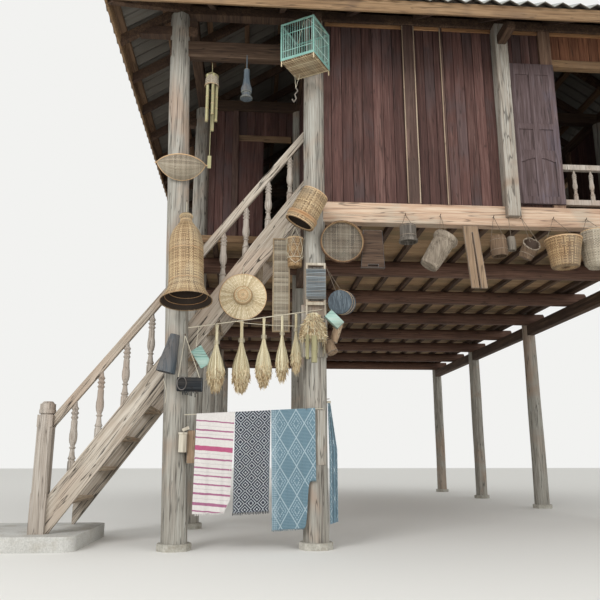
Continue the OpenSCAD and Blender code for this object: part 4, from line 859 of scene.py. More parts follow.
def round_lines(outline, ring_step, stakes, ring_width, stake_width):
    """Rings and stakes of a round basket, over and under each other."""
    heights, radii, way_out, way_up = walk(outline, ring_step)
    turns = np.arange(stakes) * 2 * math.pi / stakes
    rings = zip(heights, radii, way_out, way_up)
    lines = [(turned_round(radius, turns, height), turned_round(out, turns, up),
              over_under(stakes, ring), ring_width, True)
             for ring, (height, radius, out, up) in enumerate(rings)]
    crowd = np.minimum(1, radii / radii.max() * 1.15)
    return lines + [(turned_round(radii, turn, heights), turned_round(way_out, turn, way_up),
                     -over_under(len(heights), stake), stake_width * crowd, False)
                    for stake, turn in enumerate(turns)]


def spun(ring, steps, closed=False):
    """A shell turned round the Z axis from a line of (height, radius)."""
    shape = bmesh.new()
    verts = [shape.verts.new((r, 0, z)) for z, r in ring]
    after = verts[1:] + (verts[:1] if closed else [])
    edges = [shape.edges.new(pair) for pair in zip(verts, after)]
    bmesh.ops.spin(shape, geom=verts + edges, cent=(0, 0, 0), axis=(0, 0, 1),
                   angle=FULL_TURN, steps=steps, use_merge=True)
    bmesh.ops.remove_doubles(shape, verts=shape.verts, dist=0.01 * MM)
    return as_mesh(shape)


def turned_shell(outline, wall, steps=48):
    """A closed round shell from an outline that starts on the axis and ends at its mouth."""
    inner = [(z, max(r - wall, 0.0)) for z, r in outline]
    inner[0] = (outline[0][0] + wall, 0.0)
    inner[1] = (outline[1][0] + wall, max(outline[1][1] - wall, 0.002))
    return spun(outline + inner[::-1], steps)


# %% [markdown]
# Rims, handles and lines are twisted rope. Three thin strands wind round the path of the
# rope, so the tree moves three copies of the path out from it, each a third of a turn
# further round, and sweeps each with a small circle.

# %% Trees for twisted rope and for plain rods
YARNS, YARN_SHARE = 3, 0.56
rope, given = new_tree("twisted rope", {"Rope radius": 0.004, "Pitch": 0.03, "Step": 0.008})
path = add(rope, "GeometryNodeMeshToCurve", {"Mesh": given["Mesh"]})
even_path = add(rope, "GeometryNodeResampleCurve", {"Curve": path, "Length": given["Step"]},
                mode="LENGTH")
gone = add(rope, "GeometryNodeSplineParameter", output="Length") / given["Pitch"]
side_way = add(rope, "GeometryNodeInputNormal", output="Normal")
tangent = add(rope, "GeometryNodeInputTangent")
third_way = add(rope, "ShaderNodeVectorMath", {0: side_way, 1: tangent}, operation="CROSS_PRODUCT")
lay_radius = given["Rope radius"] * 0.5
yarn_ring = add(rope, "GeometryNodeCurvePrimitiveCircle", {
    "Resolution": 5, "Radius": given["Rope radius"] * YARN_SHARE})
yarns = add(rope, "GeometryNodeJoinGeometry")
for yarn in range(YARNS):
    angle = gone.math("MULTIPLY_ADD", FULL_TURN, yarn * FULL_TURN / YARNS)
    sideways, onwards = (
        add(rope, "ShaderNodeVectorMath", {0: way, "Scale": angle.math(wave) * lay_radius},
            operation="SCALE") for way, wave in ((side_way, "COSINE"), (third_way, "SINE")))
    offset = add(rope, "ShaderNodeVectorMath", {0: sideways, 1: onwards}, operation="ADD")
    laid = add(rope, "GeometryNodeSetPosition", {"Geometry": even_path, "Offset": offset})
    yarn_mesh = add(rope, "GeometryNodeCurveToMesh", {
        "Curve": laid, "Profile Curve": yarn_ring, "Scale": 1.0, "Fill Caps": True})
    rope.links.new(yarn_mesh.socket, yarns.socket.node.inputs[0])
end_tree(yarns, given["Material"])

rods, given = new_tree("plain rods", {"Sides": 6})
path = add(rods, "GeometryNodeMeshToCurve", {"Mesh": given["Mesh"]})
ring = add(rods, "GeometryNodeCurvePrimitiveCircle", {"Resolution": given["Sides"], "Radius": 0.5})
width = add(rods, "GeometryNodeInputNamedAttribute", {"Name": "width"}, data_type="FLOAT")
swept = add(rods, "GeometryNodeCurveToMesh", {
    "Curve": path, "Profile Curve": ring, "Scale": width, "Fill Caps": True})
end_tree(swept, given["Material"])


def paths(point_lists, width=0.01, closed=False):
    """Plain lines for the rope and rod trees."""
    lines = [(np.array(points, float), np.zeros((len(points), 3)), 0.0, width, closed)
             for points in point_lists]
    return line_mesh(lines, np.random.default_rng(TONE_SEED))


def ropes(point_lists, material, radius, pitch=0.024, step=0.010):
    return grow(rope, {"Rope radius": radius, "Pitch": pitch, "Step": step, "Material": material},
                paths(point_lists))


def bars(point_lists, material, width, sides=6, closed=False):
    return grow(rods, {"Sides": sides, "Material": material}, paths(point_lists, width, closed))


def hoops(rings, material, width, sides=6):
    """Rods bent to closed rings."""
    return bars(rings, material, width, sides, True)


# %% [markdown]
# Straw, grain ears and fringes are hundreds of thin stalks that start on a surface and
# point the same way, with a little disorder. The tree scatters points over a starting
# surface and stands a narrow three-sided cone on each, tip outwards, turned to a way that
# the surface carries and shaken a little.

# %% A tree that grows straw on a surface
SMALLEST, LARGEST = (0.7, 0.7, 0.6), (1.2, 1.2, 1.25)
straw, given = new_tree("straw on a surface", {
    "Density": 3000.0, "Length": 0.07, "Width": 0.006, "Disorder": 0.25, "Seed": 3})
seed = given["Seed"]
sown = add(straw, "GeometryNodeDistributePointsOnFaces", {
    "Mesh": given["Mesh"], "Density": given["Density"], "Seed": seed}, "Points")
stalk = add(straw, "GeometryNodeMeshCone", {
    "Vertices": 3, "Radius Top": given["Width"] * 0.15, "Radius Bottom": given["Width"] * 0.5,
    "Depth": given["Length"]})
shaken, size = (
    add(straw, "FunctionNodeRandomValue", {0: low, 1: high, "Seed": seed + more}, 0,
        data_type="FLOAT_VECTOR")
    for low, high, more in (((-1, -1, -1), (1, 1, 1), 0), (SMALLEST, LARGEST, 7)))
way = add(straw, "GeometryNodeInputNamedAttribute", {"Name": "way"}, data_type="FLOAT_VECTOR")
disorder = add(straw, "ShaderNodeVectorMath", {0: shaken, "Scale": given["Disorder"]},
               operation="SCALE")
stalk_way = add(straw, "ShaderNodeVectorMath", {0: way, 1: disorder}, operation="ADD")
turned = add(straw, "FunctionNodeAlignRotationToVector", {"Vector": stalk_way}, axis="Z")
stalks = add(straw, "GeometryNodeInstanceOnPoints", {
    "Points": sown, "Instance": stalk, "Rotation": turned, "Scale": size})
end_tree(toned(stalks, seed + 13), given["Material"])
print("trees for goods:", [t.name for t in bpy.data.node_groups])

# %% [markdown]
# Old bamboo and rattan turn from straw to brown, darkest where hands and smoke reach. Each
# strand has its own shade from its tone, fine noise breaks it up, and the lining behind is
# painted nearly black as shade, for the shade inside a basket.

# %% Finishes of woven and dried goods
FINE_MM, DUST = 9, "#9E9A89"


def strand_finish(name, colours, spread_mm=40, rough=0.7, dusty=0.25):
    """Split bamboo, rattan or straw: a shade for each strand, fine streaks and dust."""
    dark, body, light = colours.split()
    material, tree = new_finish(name)
    place = add(tree, "ShaderNodeTexCoord", output="Object")
    tone = add(tree, "ShaderNodeAttribute", output="Fac", attribute_name="tone")
    fine, broad, grime = (
        add(tree, "ShaderNodeTexNoise", {"Vector": place, "Scale": 1000.0 / size_mm,
                                         "Detail": detail, "Roughness": grit}, "Fac")
        for size_mm, detail, grit in (
            (FINE_MM, 4.0, 0.65), (spread_mm * 4, 2.0, 0.55), (spread_mm * 6, 3.0, 0.55)))
    colour = add(tree, "ShaderNodeValToRGB", {"Fac": tone * 0.42 + (fine * 0.36 + broad * 0.30)},
                 stops=[(0.28, dark), (0.52, body), (0.78, light)])
    dust = add(tree, "ShaderNodeMapRange", {
        "Value": grime, "From Min": 0.48, "From Max": 0.66, "To Min": 0.0, "To Max": dusty})
    dusted = add(tree, "ShaderNodeMix", {0: dust, 6: colour, 7: DUST}, 2, data_type="RGBA")
    end_finish(tree, dusted, rough, 0.35, fine, 0.6, 0.8)
    return material


BAMBOO = strand_finish("split bamboo, woven, brown with age", "#665039 #9F8665 #C4AE89")
RATTAN = strand_finish("rattan, woven, smoke brown", "#57402C #8B6E4E #B19770")
PALE_SPLIT = strand_finish("split bamboo, woven, still pale", "#8B785E #B7A485 #D3C4A4")
GREY_SPLIT = strand_finish("fine split bamboo, grey with dust", "#6B6154 #978B79 #B6AC9A")
# Painted shade: the lining's near black stands for the shade inside a basket and inside the flared
# tube.
SHADE_LINING = strand_finish("inside of a basket, in shade", "#2B2118 #453428 #5C4734", dusty=0.0)
RIM_SPLIT = strand_finish("rim of split bamboo, tan", "#98704A #C09C74 #D6B78F")
STRAW = strand_finish("straw, dry and pale", "#978869 #C2B796 #D9D2B5", spread_mm=60)
EARS = strand_finish("ears of grain, dry, tan at the tips", "#866745 #BCA783 #D9CCAB",
                     spread_mm=30)
HAT_STRAW = strand_finish("plaited palm straw, sun bleached", "#A5916F #CBBA98 #DFD3B7",
                          dusty=0.12)
CORD = strand_finish("twisted straw cord, grey", "#7F7665 #B4AB96 #D2CBB7")
DARK_CORD = strand_finish("twisted cord, smoke brown", "#383028 #574C41 #76695A")
SIEVE_SPLIT = strand_finish("fine split bamboo, smoke grey", "#453F37 #696054 #8B8172")
WIRE_PAINT = strand_finish("thin slat, pale green paint, chalky", "#5D8B81 #90B8AD #B9D3CB",
                           dusty=0.15)
IRON = strand_finish("wrought iron nail, rusty", "#332923 #57453A #7A604E", rough=0.6)
DARK_WOOD = weathered_wood("turned dark wood, grey with dust", "z",
                           "#383330 #605A52 #89827A #7A7267", 0.5, 0.4, 0.35)
BELL_WOOD = weathered_wood("carved bell wood, smoke brown", "z",
                           "#3D3126 #6B5745 #968169 #57483A", 0.4, 0.5, 0.3)
BOARD_WOOD = weathered_wood("planed board, old and yellow brown", "z",
                            "#69533F #988169 #B9A58B #7F6B57", 0.4, 0.5, 0.25)
BOX_PAINT = weathered_wood("box board, pale green paint worn thin", "x",
                           "#6E9189 #98B7AD #BACEC5 #8B8B7A", 0.35, 0.4, 0.2)
SLATE_WOOD = weathered_wood("turned wood under old grey blue paint", "z",
                            "#343A40 #515B63 #727D84 #6E655E", 0.4, 0.4, 0.3)
CHAR_WOOD = weathered_wood("charred log, near black", "x",
                           "#14161A #24282C #3A3E42 #38332E", 0.4, 0.5, 0.2)
TURNED_GREY = weathered_wood("carved mortar wood, brown grey", "z",
                             "#5C5247 #8B7F70 #B1A594 #7A6B5A", 0.4, 0.5, 0.3)
BOARD_GREY = weathered_wood("ribbed board, grey with use", "x",
                            "#5A6266 #7E868A #9CA2A4 #6C665E", 0.35, 0.3, 0.3)
PALE_BOARD = weathered_wood("small board, pale and dry", "z",
                            "#9C9181 #C0B7A6 #D5CEBE #AB9E89", 0.35, 0.3, 0.2)
SIEVE_WOOD = weathered_wood("bent hoop of split wood, brown", "z",
                            "#453325 #745741 #9C7D5E #5C4534", 0.4, 0.3, 0.2)
BAMBOO_TUBE = weathered_wood("bamboo tube, dry and pale", "z",
                             "#7A7455 #A09A76 #BEB996 #8D8363", 0.35, 0.2, 0.25)
print("goods finishes: 25")

# %% [markdown]
# Places on the front that the goods hang from, the same as in the frame: the lower edge of
# the rim beam, the column at the stair's head and the left column. Small goods are sized
# as shares of the largest pot, 360 mm high.

# %% Places of the hung goods
WARE = 0.360
ON_BEAM = Vector((1.300, -0.064, 3.066))
ON_HEAD = Vector((1.300, -0.124, 3.066))
ON_LEFT = Vector((0.045, -0.124, 3.066))
rng = np.random.default_rng(412)


def share(place, shares):
    return place + Vector(shares) * WARE


def sized(shares, length=WARE, radius=WARE):
    """An outline of (height, radius) in metres from one in shares."""
    return [(z * length, r * radius) for z, r in shares]


def drawn_in(outline, by, least=0.0):
    """An outline with smaller radii."""
    return [(z, max(r - by, least)) for z, r in outline]


# %% [markdown]
# The fish trap is the largest piece of basketry on the front: a bottle of split bamboo with
# its neck up and a wide mouth below. Upright splits show as streaks, rings tie them, and
# hoops of thicker cane stiffen the neck and the mouth.

# %% Fish trap
LINING_INSET = 0.004


def woven_vessel(name, outline, place, ring_step, pitch, strand, depth, material, slot="wicker"):
    """Strands and lining of one round basket; the lining is a piece of its own."""
    (foot, foot_radius), *rest = outline
    stakes = 2 * int(round(math.pi * max(r for _, r in outline) / pitch))
    lines = round_lines([(foot, 0.012)] + outline, ring_step, stakes, strand, strand * 1.05)
    weave = piece_from(name + "_weave", [woven(lines, 0.30, depth, material)], material, slot,
                       60, place)
    inside = foot + LINING_INSET
    lining = [(inside, 0.0), (inside, foot_radius - LINING_INSET)] + drawn_in(rest, LINING_INSET)
    piece_from(name + "_shade_lining", [turned_shell(lining, 0.004)], SHADE_LINING, slot, 40, place)
    return weave


TRAP_LENGTH, TRAP_RADIUS, TRAP_LEAN, TRAP_SIDEWAYS = 0.880, 0.160, math.radians(9), math.radians(3)
TRAP_SHARES = [(0.00, 0.36), (0.02, 0.42), (0.04, 0.34), (0.08, 0.34), (0.10, 0.40),
               (0.14, 0.54), (0.205, 0.78), (0.27, 0.92), (0.36, 1.00), (0.82, 1.00),
               (0.89, 1.10), (0.95, 1.28), (1.00, 1.48)]
trap_outline = [(z, r - 0.004) for z, r in sized(TRAP_SHARES, TRAP_LENGTH, TRAP_RADIUS)]
trap_place = aim(share(ON_LEFT, (0.033, -0.291, -0.1)),
                 (math.tan(TRAP_SIDEWAYS), -math.sin(TRAP_LEAN), -math.cos(TRAP_LEAN)))
trap = woven_vessel("fish_trap", trap_outline, trap_place, 0.013, 0.0135, 0.0125, 0.0022, BAMBOO)
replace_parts(trap, "fish_trap")
outer_hoops = [circle(radius, height) for radius, height in (
    (0.054, 0.012), (0.054, 0.066), (0.157, 0.40), (0.158, 0.70), (0.230, 0.876))]
inner_hoops = [circle(radius - 0.014, height) for height, radius in (
    (0.50, 0.156), (0.60, 0.156), (0.70, 0.156), (0.79, 0.172), (0.84, 0.205))]
trap_hoops = [hoops(outer_hoops, RIM_SPLIT, 0.007), hoops(inner_hoops, RIM_SPLIT, 0.006, 5)]
piece_from("fish_trap_hoops", trap_hoops, RIM_SPLIT, "wicker", 60, trap_place)

# %% [markdown]
# Four baskets hang on the front. Each has a rim: two hoops of split cane, one inside and
# one outside, sewn to the mouth with a spiral of thin strip, which is a plain rod that
# winds round the rim.

# %% Baskets
RIM_HOOP, STITCHES, STITCH_POINTS, STITCH_WIDTH = 0.010, 36, 6, 0.004


def sewn_rim(radius, height):
    """Two hoops and the strip that sews them, as plain meshes round the Z axis."""
    turn = np.linspace(0, FULL_TURN, STITCHES * STITCH_POINTS, endpoint=False)
    wind = turn * STITCHES
    reach = radius - 0.004 + (RIM_HOOP * 0.5 + 0.007) * np.cos(wind)
    strip = turned_round(reach, turn, height + (RIM_HOOP * 0.5 + 0.002) * np.sin(wind))
    canes = [circle(radius + 0.003, height), circle(radius - 0.011, height)]
    return [hoops(canes, RIM_SPLIT, RIM_HOOP), hoops([strip], RIM_SPLIT, STITCH_WIDTH, 4)]


DRUM_BANDS = (0.268, 0.281, 0.294)
BASKETS = {  # name: place, the way it stands, outline in shares, finish
    "drum_basket": (share(ON_HEAD, (-0.039, -0.461, 0.553)), (-0.46, 0.05, -0.89),
                    [(0, 0.356), (0.056, 0.378), (0.819, 0.394), (0.889, 0.417), (0.944, 0.408)],
                    BAMBOO),
    "side_basket": (share(ON_HEAD, (-0.544, 0.289, -1.294)), (0, 0, 1),
                    [(0, 0.183), (0.033, 0.194), (0.694, 0.222), (0.806, 0.233)], RATTAN),
    "round_basket": (share(ON_BEAM, (6.736, -0.5, -1.333)), (0, 0, 1),
                     [(0, 0.35), (0.044, 0.372), (0.528, 0.444), (0.681, 0.478), (0.792, 0.492)],
                     RATTAN),
    "tall_basket": (share(ON_BEAM, (7.694, -0.422, -1.306)), (0, 0, 1),
                    [(0, 0.256), (0.111, 0.339), (0.528, 0.411), (0.889, 0.389), (1.042, 0.372)],
                    GREY_SPLIT),
}
for name, (place, way, shares, finish) in BASKETS.items():
    outline = [(z + (0.003 if z == 0 else 0), r - 0.004) for z, r in sized(shares)]
    stand = aim(place, way)
    basket = woven_vessel(name, outline, stand, 0.0125, 0.014, 0.0115, 0.0022, finish)
    mouth_height, mouth_radius = outline[-1]
    piece_from(name + "_rim", sewn_rim(mouth_radius - 0.003, mouth_height - 0.006),
               RIM_SPLIT, "wicker", 60, stand)
    if name == "drum_basket":
        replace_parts(basket, "woven_baskets")
        foot_height, foot_radius = outline[0]
        bands = [circle(foot_radius + 0.002, foot_height + up) for up in (0.006, 0.018, 0.030)]
        bands += [circle(0.145, up) for up in DRUM_BANDS]
        piece_from("drum_basket_bands", [hoops(bands, RIM_SPLIT, 0.0135)], RIM_SPLIT, "wicker",
                   60, stand)

# %% [markdown]
# The sieve is a flat mesh of split bamboo in a bent wooden hoop. Its strands run straight
# across in two directions, so each is a line cut to the length of its chord. The tray is
# finer and shaped like a boat: a patch of a large sphere between two arcs.

# %% Sieve
SIEVE_R, SIEVE_RIM, SIEVE_PITCH, SIEVE_STRAND = 0.2125, 0.046, 0.0105, 0.0062
sieve_place = aim((1.300 + SIEVE_R * 1.205, -0.124, 3.066 - 6 * 0.004 - SIEVE_R), (0, -1, 0))


def chord_lines(radius, height):
    """Straight strands both ways across a disc."""
    count = int(radius / SIEVE_PITCH)
    steps = np.arange(-count, count + 1) * SIEVE_PITCH
    lines = []
    for flip in (0, 1):
        for k, offset in enumerate(steps):
            half = math.sqrt(max(radius ** 2 - offset ** 2, 0))
            crossings = steps[np.abs(steps) < half]
            if len(crossings) < 2:
                continue
            along = np.concatenate([[-half], crossings, [half]])
            side = np.full(len(along), offset)
            pair = (side, along) if flip else (along, side)
            where = np.stack([*pair, np.full(len(along), height)], 1)
            lines.append((where, np.tile((0.0, 0.0, 1.0), (len(along), 1)),
                          over_under(len(along), k + flip), SIEVE_STRAND, False))
    return lines


sieve_strands = woven(chord_lines(SIEVE_R - 0.006, 0.006), 0.4, 0.0012, SIEVE_SPLIT)
sieve = piece_from("sieve_mesh", [sieve_strands], SIEVE_SPLIT, "wicker", 60, sieve_place)
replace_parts(sieve, "round_sieve")
hoop_outline = [(0.000, SIEVE_R - 0.010), (0.000, SIEVE_R - 0.001), (0.005, SIEVE_R),
                (SIEVE_RIM - 0.005, SIEVE_R), (SIEVE_RIM, SIEVE_R - 0.002),
                (SIEVE_RIM, SIEVE_R - 0.008), (0.010, SIEVE_R - 0.009)]
piece_from("sieve_hoop", [spun(hoop_outline, 96, closed=True)], SIEVE_WOOD, "wicker", 40,
           sieve_place)
ties = hoops([circle(SIEVE_R - 0.011, height) for height in (0.012, 0.040)], RATTAN, 0.006, 5)
piece_from("sieve_ties", [ties], RATTAN, "wicker", 60, sieve_place)

# %% Boat shaped tray
TRAY_L, TRAY_W, TRAY_ROWS, TRAY_COLUMNS = 0.480, 0.290, 30, 56
TRAY_ARC = ((TRAY_L / 2) ** 2 + (TRAY_W / 2) ** 2) / TRAY_W
TRAY_R = TRAY_L * 5 / 8
tray_place = (aim((-0.009, -0.124 - TRAY_W / 2, 3.300 + WARE / 2), (0.05, -0.62, -0.78))
              @ Matrix.Rotation(math.pi / 2, 4, "Z"))


def half_width(x):
    """Half the tray's width at a distance from its middle."""
    return math.sqrt(TRAY_ARC ** 2 - x * x) - (TRAY_ARC - TRAY_W / 2)


def tray_point(u, v, inset=0.0):
    """A point of the tray's outer face and the way it faces; u and v run from -1 to 1."""
    x = u * (TRAY_L / 2 - 0.006)
    y = v * max(half_width(x) - 0.003, 0.001)
    z = math.sqrt(TRAY_R ** 2 - x * x - y * y) - TRAY_R
    way = np.array((x, y, z + TRAY_R)) / TRAY_R
    return np.array((x, y, z)) - way * (0.005 + inset), way


def tray_lines():
    """Strands along the tray, narrower towards its ends, and strands across it."""
    us, vs = np.linspace(-0.985, 0.985, TRAY_COLUMNS), np.linspace(-0.97, 0.97, TRAY_ROWS)
    narrow = np.maximum([half_width(u * TRAY_L / 2) / (TRAY_W / 2) for u in us], 0.12)
    runs = [([tray_point(u, v) for u in us], over_under(TRAY_COLUMNS, j),
             TRAY_W / TRAY_ROWS * 0.95 * narrow) for j, v in enumerate(vs)]
    runs += [([tray_point(u, v) for v in vs], -over_under(TRAY_ROWS, i),
              TRAY_L / TRAY_COLUMNS * 0.9) for i, u in enumerate(us)]
    return [(np.array([spot for spot, _ in spots]), np.array([way for _, way in spots]),
             overs, width, False) for spots, overs, width in runs]


tray = piece_from("tray_weave", [woven(tray_lines(), 0.28, 0.0011, GREY_SPLIT)], GREY_SPLIT,
                  "wicker", 60, tray_place)
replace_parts(tray, "saddle_tray")
us = np.linspace(-1, 1, 60)
edge_loop = [tray_point(u, 1.0)[0] for u in us] + [tray_point(u, -1.0)[0] for u in us[::-1]]
piece_from("tray_rim", [hoops([edge_loop], RIM_SPLIT, 0.010)], RIM_SPLIT, "wicker", 60,
           tray_place)


def faces_between(shape, first, second):
    for k in range(len(first) - 1):
        shape.faces.new((first[k], second[k], second[k + 1], first[k + 1]))


lining = bmesh.new()
outer, inner = ([[lining.verts.new(tray_point(u, v, inset)[0])
                  for v in np.linspace(-0.98, 0.98, 20)] for u in np.linspace(-0.98, 0.98, 40)]
                for inset in (0.0015, 0.003))
for sheet in (outer, inner):
    for first, second in zip(sheet, sheet[1:]):
        faces_between(lining, first, second)
for k in (0, -1):
    faces_between(lining, outer[k], inner[k])
    faces_between(lining, [row[k] for row in outer], [row[k] for row in inner])
piece_from("tray_shade_lining", [as_mesh(lining)], SHADE_LINING, "wicker", 40, tray_place)

# %% [markdown]
# The sun hat is palm straw laid from the crown out to the brim and held by a few rings of
# stitching. It is drawn as a basket whose stakes are the straws: wide at the brim, crowded
# at the crown, with thin rings over and under them. Rings of tan cane on the crown darken
# it: painted shade, for the shadow that lies on the crown.

# %% Sun hat
def rod_piece(name, lines, material, width, sides=6, slot="straw", place=None, closed=False):
    """A piece of plain rods along lines."""
    return piece_from(name, [bars(lines, material, width, sides, closed)], material, slot, 60,
                      place)


def rope_piece(name, lines, radius=0.003, material=CORD, slot="straw", pitch=0.024, step=0.010):
    """A piece of twisted ropes along lines."""
    return piece_from(name, [ropes(lines, material, radius, pitch, step)], material, slot)


def skin(outline, wall, steps=72):
    """A thin closed skin under an outline that runs from the axis to an open edge."""
    line = np.array(outline, float)
    along = np.gradient(line, axis=0)
    along /= np.hypot(*along.T)[:, None]
    inner = line + wall * np.stack([-along[:, 1], along[:, 0]], 1)
    inner[:, 1] = np.maximum(inner[:, 1], 0.0)
    inner[0, 1] = 0.0
    return spun([tuple(p) for p in (*line, *inner[::-1])], steps)


HAT_R = 0.235
hat_place = aim((1.300 - HAT_R * 2 * 1.48, 0.136, 2.332), (0, -1, 0))
hat_outline = sized(((0.395, 0.06), (0.40, 0.22), (0.33, 0.365), (0.14, 0.41), (0.055, 0.70),
                     (0.02, 0.985)), HAT_R, HAT_R)
straws = woven(round_lines(hat_outline, 0.021, 132, 0.0035, 0.0118), 0.26, 0.0009, HAT_STRAW)
hat = piece_from("hat_straw", [straws], HAT_STRAW, "straw", 60, hat_place)
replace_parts(hat, "straw_hat")
under_straw = [(z - 0.002, r) for z, r in [(0.390 * HAT_R, 0.0)] + hat_outline[1:]]
piece_from("hat_skin", [skin(under_straw, -0.0025)], HAT_STRAW, "straw", 60, hat_place)
rod_piece("hat_brim", [circle(HAT_R - 0.006, 0.0055, 96)], RIM_SPLIT, 0.009, place=hat_place,
          closed=True)
# Painted shade: tan cane rings darken the crown, which lies in shadow.
crown = [circle(r * HAT_R, z * HAT_R + 0.002, 48) for z, r in
         ((0.397, 0.10), (0.398, 0.16), (0.395, 0.215), (0.33, 0.345), (0.24, 0.385))]
rod_piece("hat_crown_shade_rings", crown, RIM_SPLIT, 0.006, 5, place=hat_place, closed=True)

# %% [markdown]
# The reed panel is level slats of split reed in a pale border, stitched down its length
# with three cords. The tree that lays boards lays the slats too, on their side.

# %% Reed panel
UPRIGHT = (2, 1, 0)
PANEL_LOW, PANEL_SIZE, PANEL_EDGE = Vector((0.893, 0.118, 1.980)), (0.172, 0.018, 0.960), 0.014


def board_between(low, high, edge=0.002):
    """One board as a plain mesh with bevelled edges."""
    shape = bmesh.new()
    block(shape, low, high)
    bmesh.ops.bevel(shape, geom=shape.edges[:], offset=edge, segments=1, affect="EDGES")
    return as_mesh(shape)


slat_area = (PANEL_SIZE[0] - 2 * PANEL_EDGE, 0.007, PANEL_SIZE[2] - 2 * PANEL_EDGE)
slats = moved(laid_boards(slat_area, UPRIGHT, GREY_SPLIT, 72, 8, 0.003, 0.0012, 0.003),
              Matrix.Translation(PANEL_LOW + Vector((PANEL_EDGE, 0.010, PANEL_EDGE))))
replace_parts(piece_from("reed_slats", [slats], GREY_SPLIT, "wicker", None), "reed_panel")
x0, y0, z0 = PANEL_LOW
x1, y1, z1 = PANEL_LOW + Vector(PANEL_SIZE)
inner_x0, inner_x1 = x0 + PANEL_EDGE, x1 - PANEL_EDGE
border = [board_between(low, high, edge) for low, high, edge in (
    ((x0, y0, z0), (inner_x0, y1, z1), 0.002), ((inner_x1, y0, z0), (x1, y1, z1), 0.002),
    ((inner_x0, y0 + 0.001, z0), (inner_x1, y1, z0 + PANEL_EDGE), 0.002),
    ((inner_x0, y0 + 0.001, z1 - PANEL_EDGE), (inner_x1, y1, z1), 0.002),
    ((x0 + 0.006, y1 - 0.005, z0 + 0.006), (x1 - 0.006, y1 - 0.001, z1 - 0.006), 0.001))]
piece_from("reed_border", border, PALE_SPLIT, "wicker", None)
stitches = [[(x0 + PANEL_SIZE[0] * k / 4, y0 + 0.0055, z) for z in (z0 + 0.016, z1 - 0.016)]
            for k in (1, 2, 3)]
rope_piece("reed_stitching", stitches, 0.0016, slot="wicker", pitch=0.012, step=0.006)

# %% [markdown]
# The bird cage is thin painted slats: thirteen upright wires on each side, held by two level
# slats, over a floor of split bamboo between two thin mats. It hangs by two cords from a
# small carved hook.

# %% Bird cage
CAGE_W, CAGE_H, CAGE_BAR, CAGE_TURN, WIRES, LATTICE_RODS = 0.365, 0.410, 0.014, 59, 13, 14
CAGE_IN = CAGE_W - 2 * CAGE_BAR
cage_place = at(1.120, -0.124, 4.577, CAGE_TURN) @ Matrix.Translation((-CAGE_W, -CAGE_W, 0))
worn("bird_cage", 1.5, WIRE_PAINT, "cage_paint")
edge = CAGE_W / 2 - CAGE_BAR / 2
wires, slats, lattice = [], [], []
for side in range(4):
    turn = at(CAGE_W / 2, CAGE_W / 2, 0, 90 * side)
    for k in range(WIRES):
        x = -CAGE_W / 2 + CAGE_BAR + (k + 0.5) * CAGE_IN / WIRES
        wires.append([turn @ Vector((x, -edge, z)) for z in (CAGE_BAR, CAGE_H - CAGE_BAR / 2)])
    for z in (0.105, 0.290):
        slats.append([turn @ Vector((x, -edge, z)) for x in (-edge, edge)])
piece_from("cage_wires", [bars(wires, WIRE_PAINT, 0.0045, 5), bars(slats, WIRE_PAINT, 0.008, 4)],
           WIRE_PAINT, "cage_paint", 60, cage_place)
for k in range(LATTICE_RODS):
    spot = CAGE_BAR + (k + 0.5) * CAGE_IN / LATTICE_RODS
    lattice += [[(spot, y, CAGE_BAR + 0.002) for y in (0.006, CAGE_W - 0.006)],
                [(x, spot, -0.006) for x in (0.006, CAGE_W - 0.006)],
                [(spot, y, -0.010) for y in (0.006, CAGE_W - 0.006)]]
low, high = 0.008, CAGE_W - 0.008
feet = [[(x, y, 0.004), (x, y, -0.055)] for x, y in ((low, low), (low, high), (high, low))]
piece_from("cage_floor", [bars(lattice, PALE_SPLIT, 0.009, 5), bars(feet, PALE_SPLIT, 0.012)],
           PALE_SPLIT, "cage_paint", 60, cage_place)
under = board_between((0.004, 0.004, -0.004), (CAGE_W - 0.004, CAGE_W - 0.004, 0.0015), 0.001)
above = board_between((CAGE_BAR, CAGE_BAR, CAGE_BAR - 0.001),
                      (CAGE_W - CAGE_BAR, CAGE_W - CAGE_BAR, CAGE_BAR + 0.002), 0.0008)
piece_from("cage_floor_mat", [under, above], RATTAN, "cage_paint", None, cage_place)

# %% [markdown]
# Pots, bells and woodware are turned or carved from dark wood that dust has greyed. They
# are worn copies of the frame's parts, each with the finish of the nearest listed place.
# Thin rings are turned on the pots and bells, and split bamboo binds the bucket. The flared
# tube's mouth is cut at a slant, so that one looks into it from the ground.

# %% Pots, bells and woodware
def cut_mouth(shape, inside, through, normal):
    """Cuts the part round a point along a slanting plane and closes the cut wall."""
    part = min(loose_parts(shape), key=lambda verts: (middle_of(verts) - inside).length)
    edges = {edge for vert in part for edge in vert.link_edges}
    faces = {face for vert in part for face in vert.link_faces}
    done = bmesh.ops.bisect_plane(shape, geom=[*part, *edges, *faces], plane_co=through,
                                  plane_no=normal, clear_outer=True)
    cut = [item for item in done["geom_cut"] if isinstance(item, bmesh.types.BMEdge)]
    made = bmesh.ops.bridge_loops(shape, edges=cut)["faces"]
    bmesh.ops.recalc_face_normals(shape, faces=shape.faces)
    print("slanting mouth:", len(cut), "cut edges,", len(made), "wall faces")
    return [vert.co.copy() for edge in cut for vert in edge.verts]


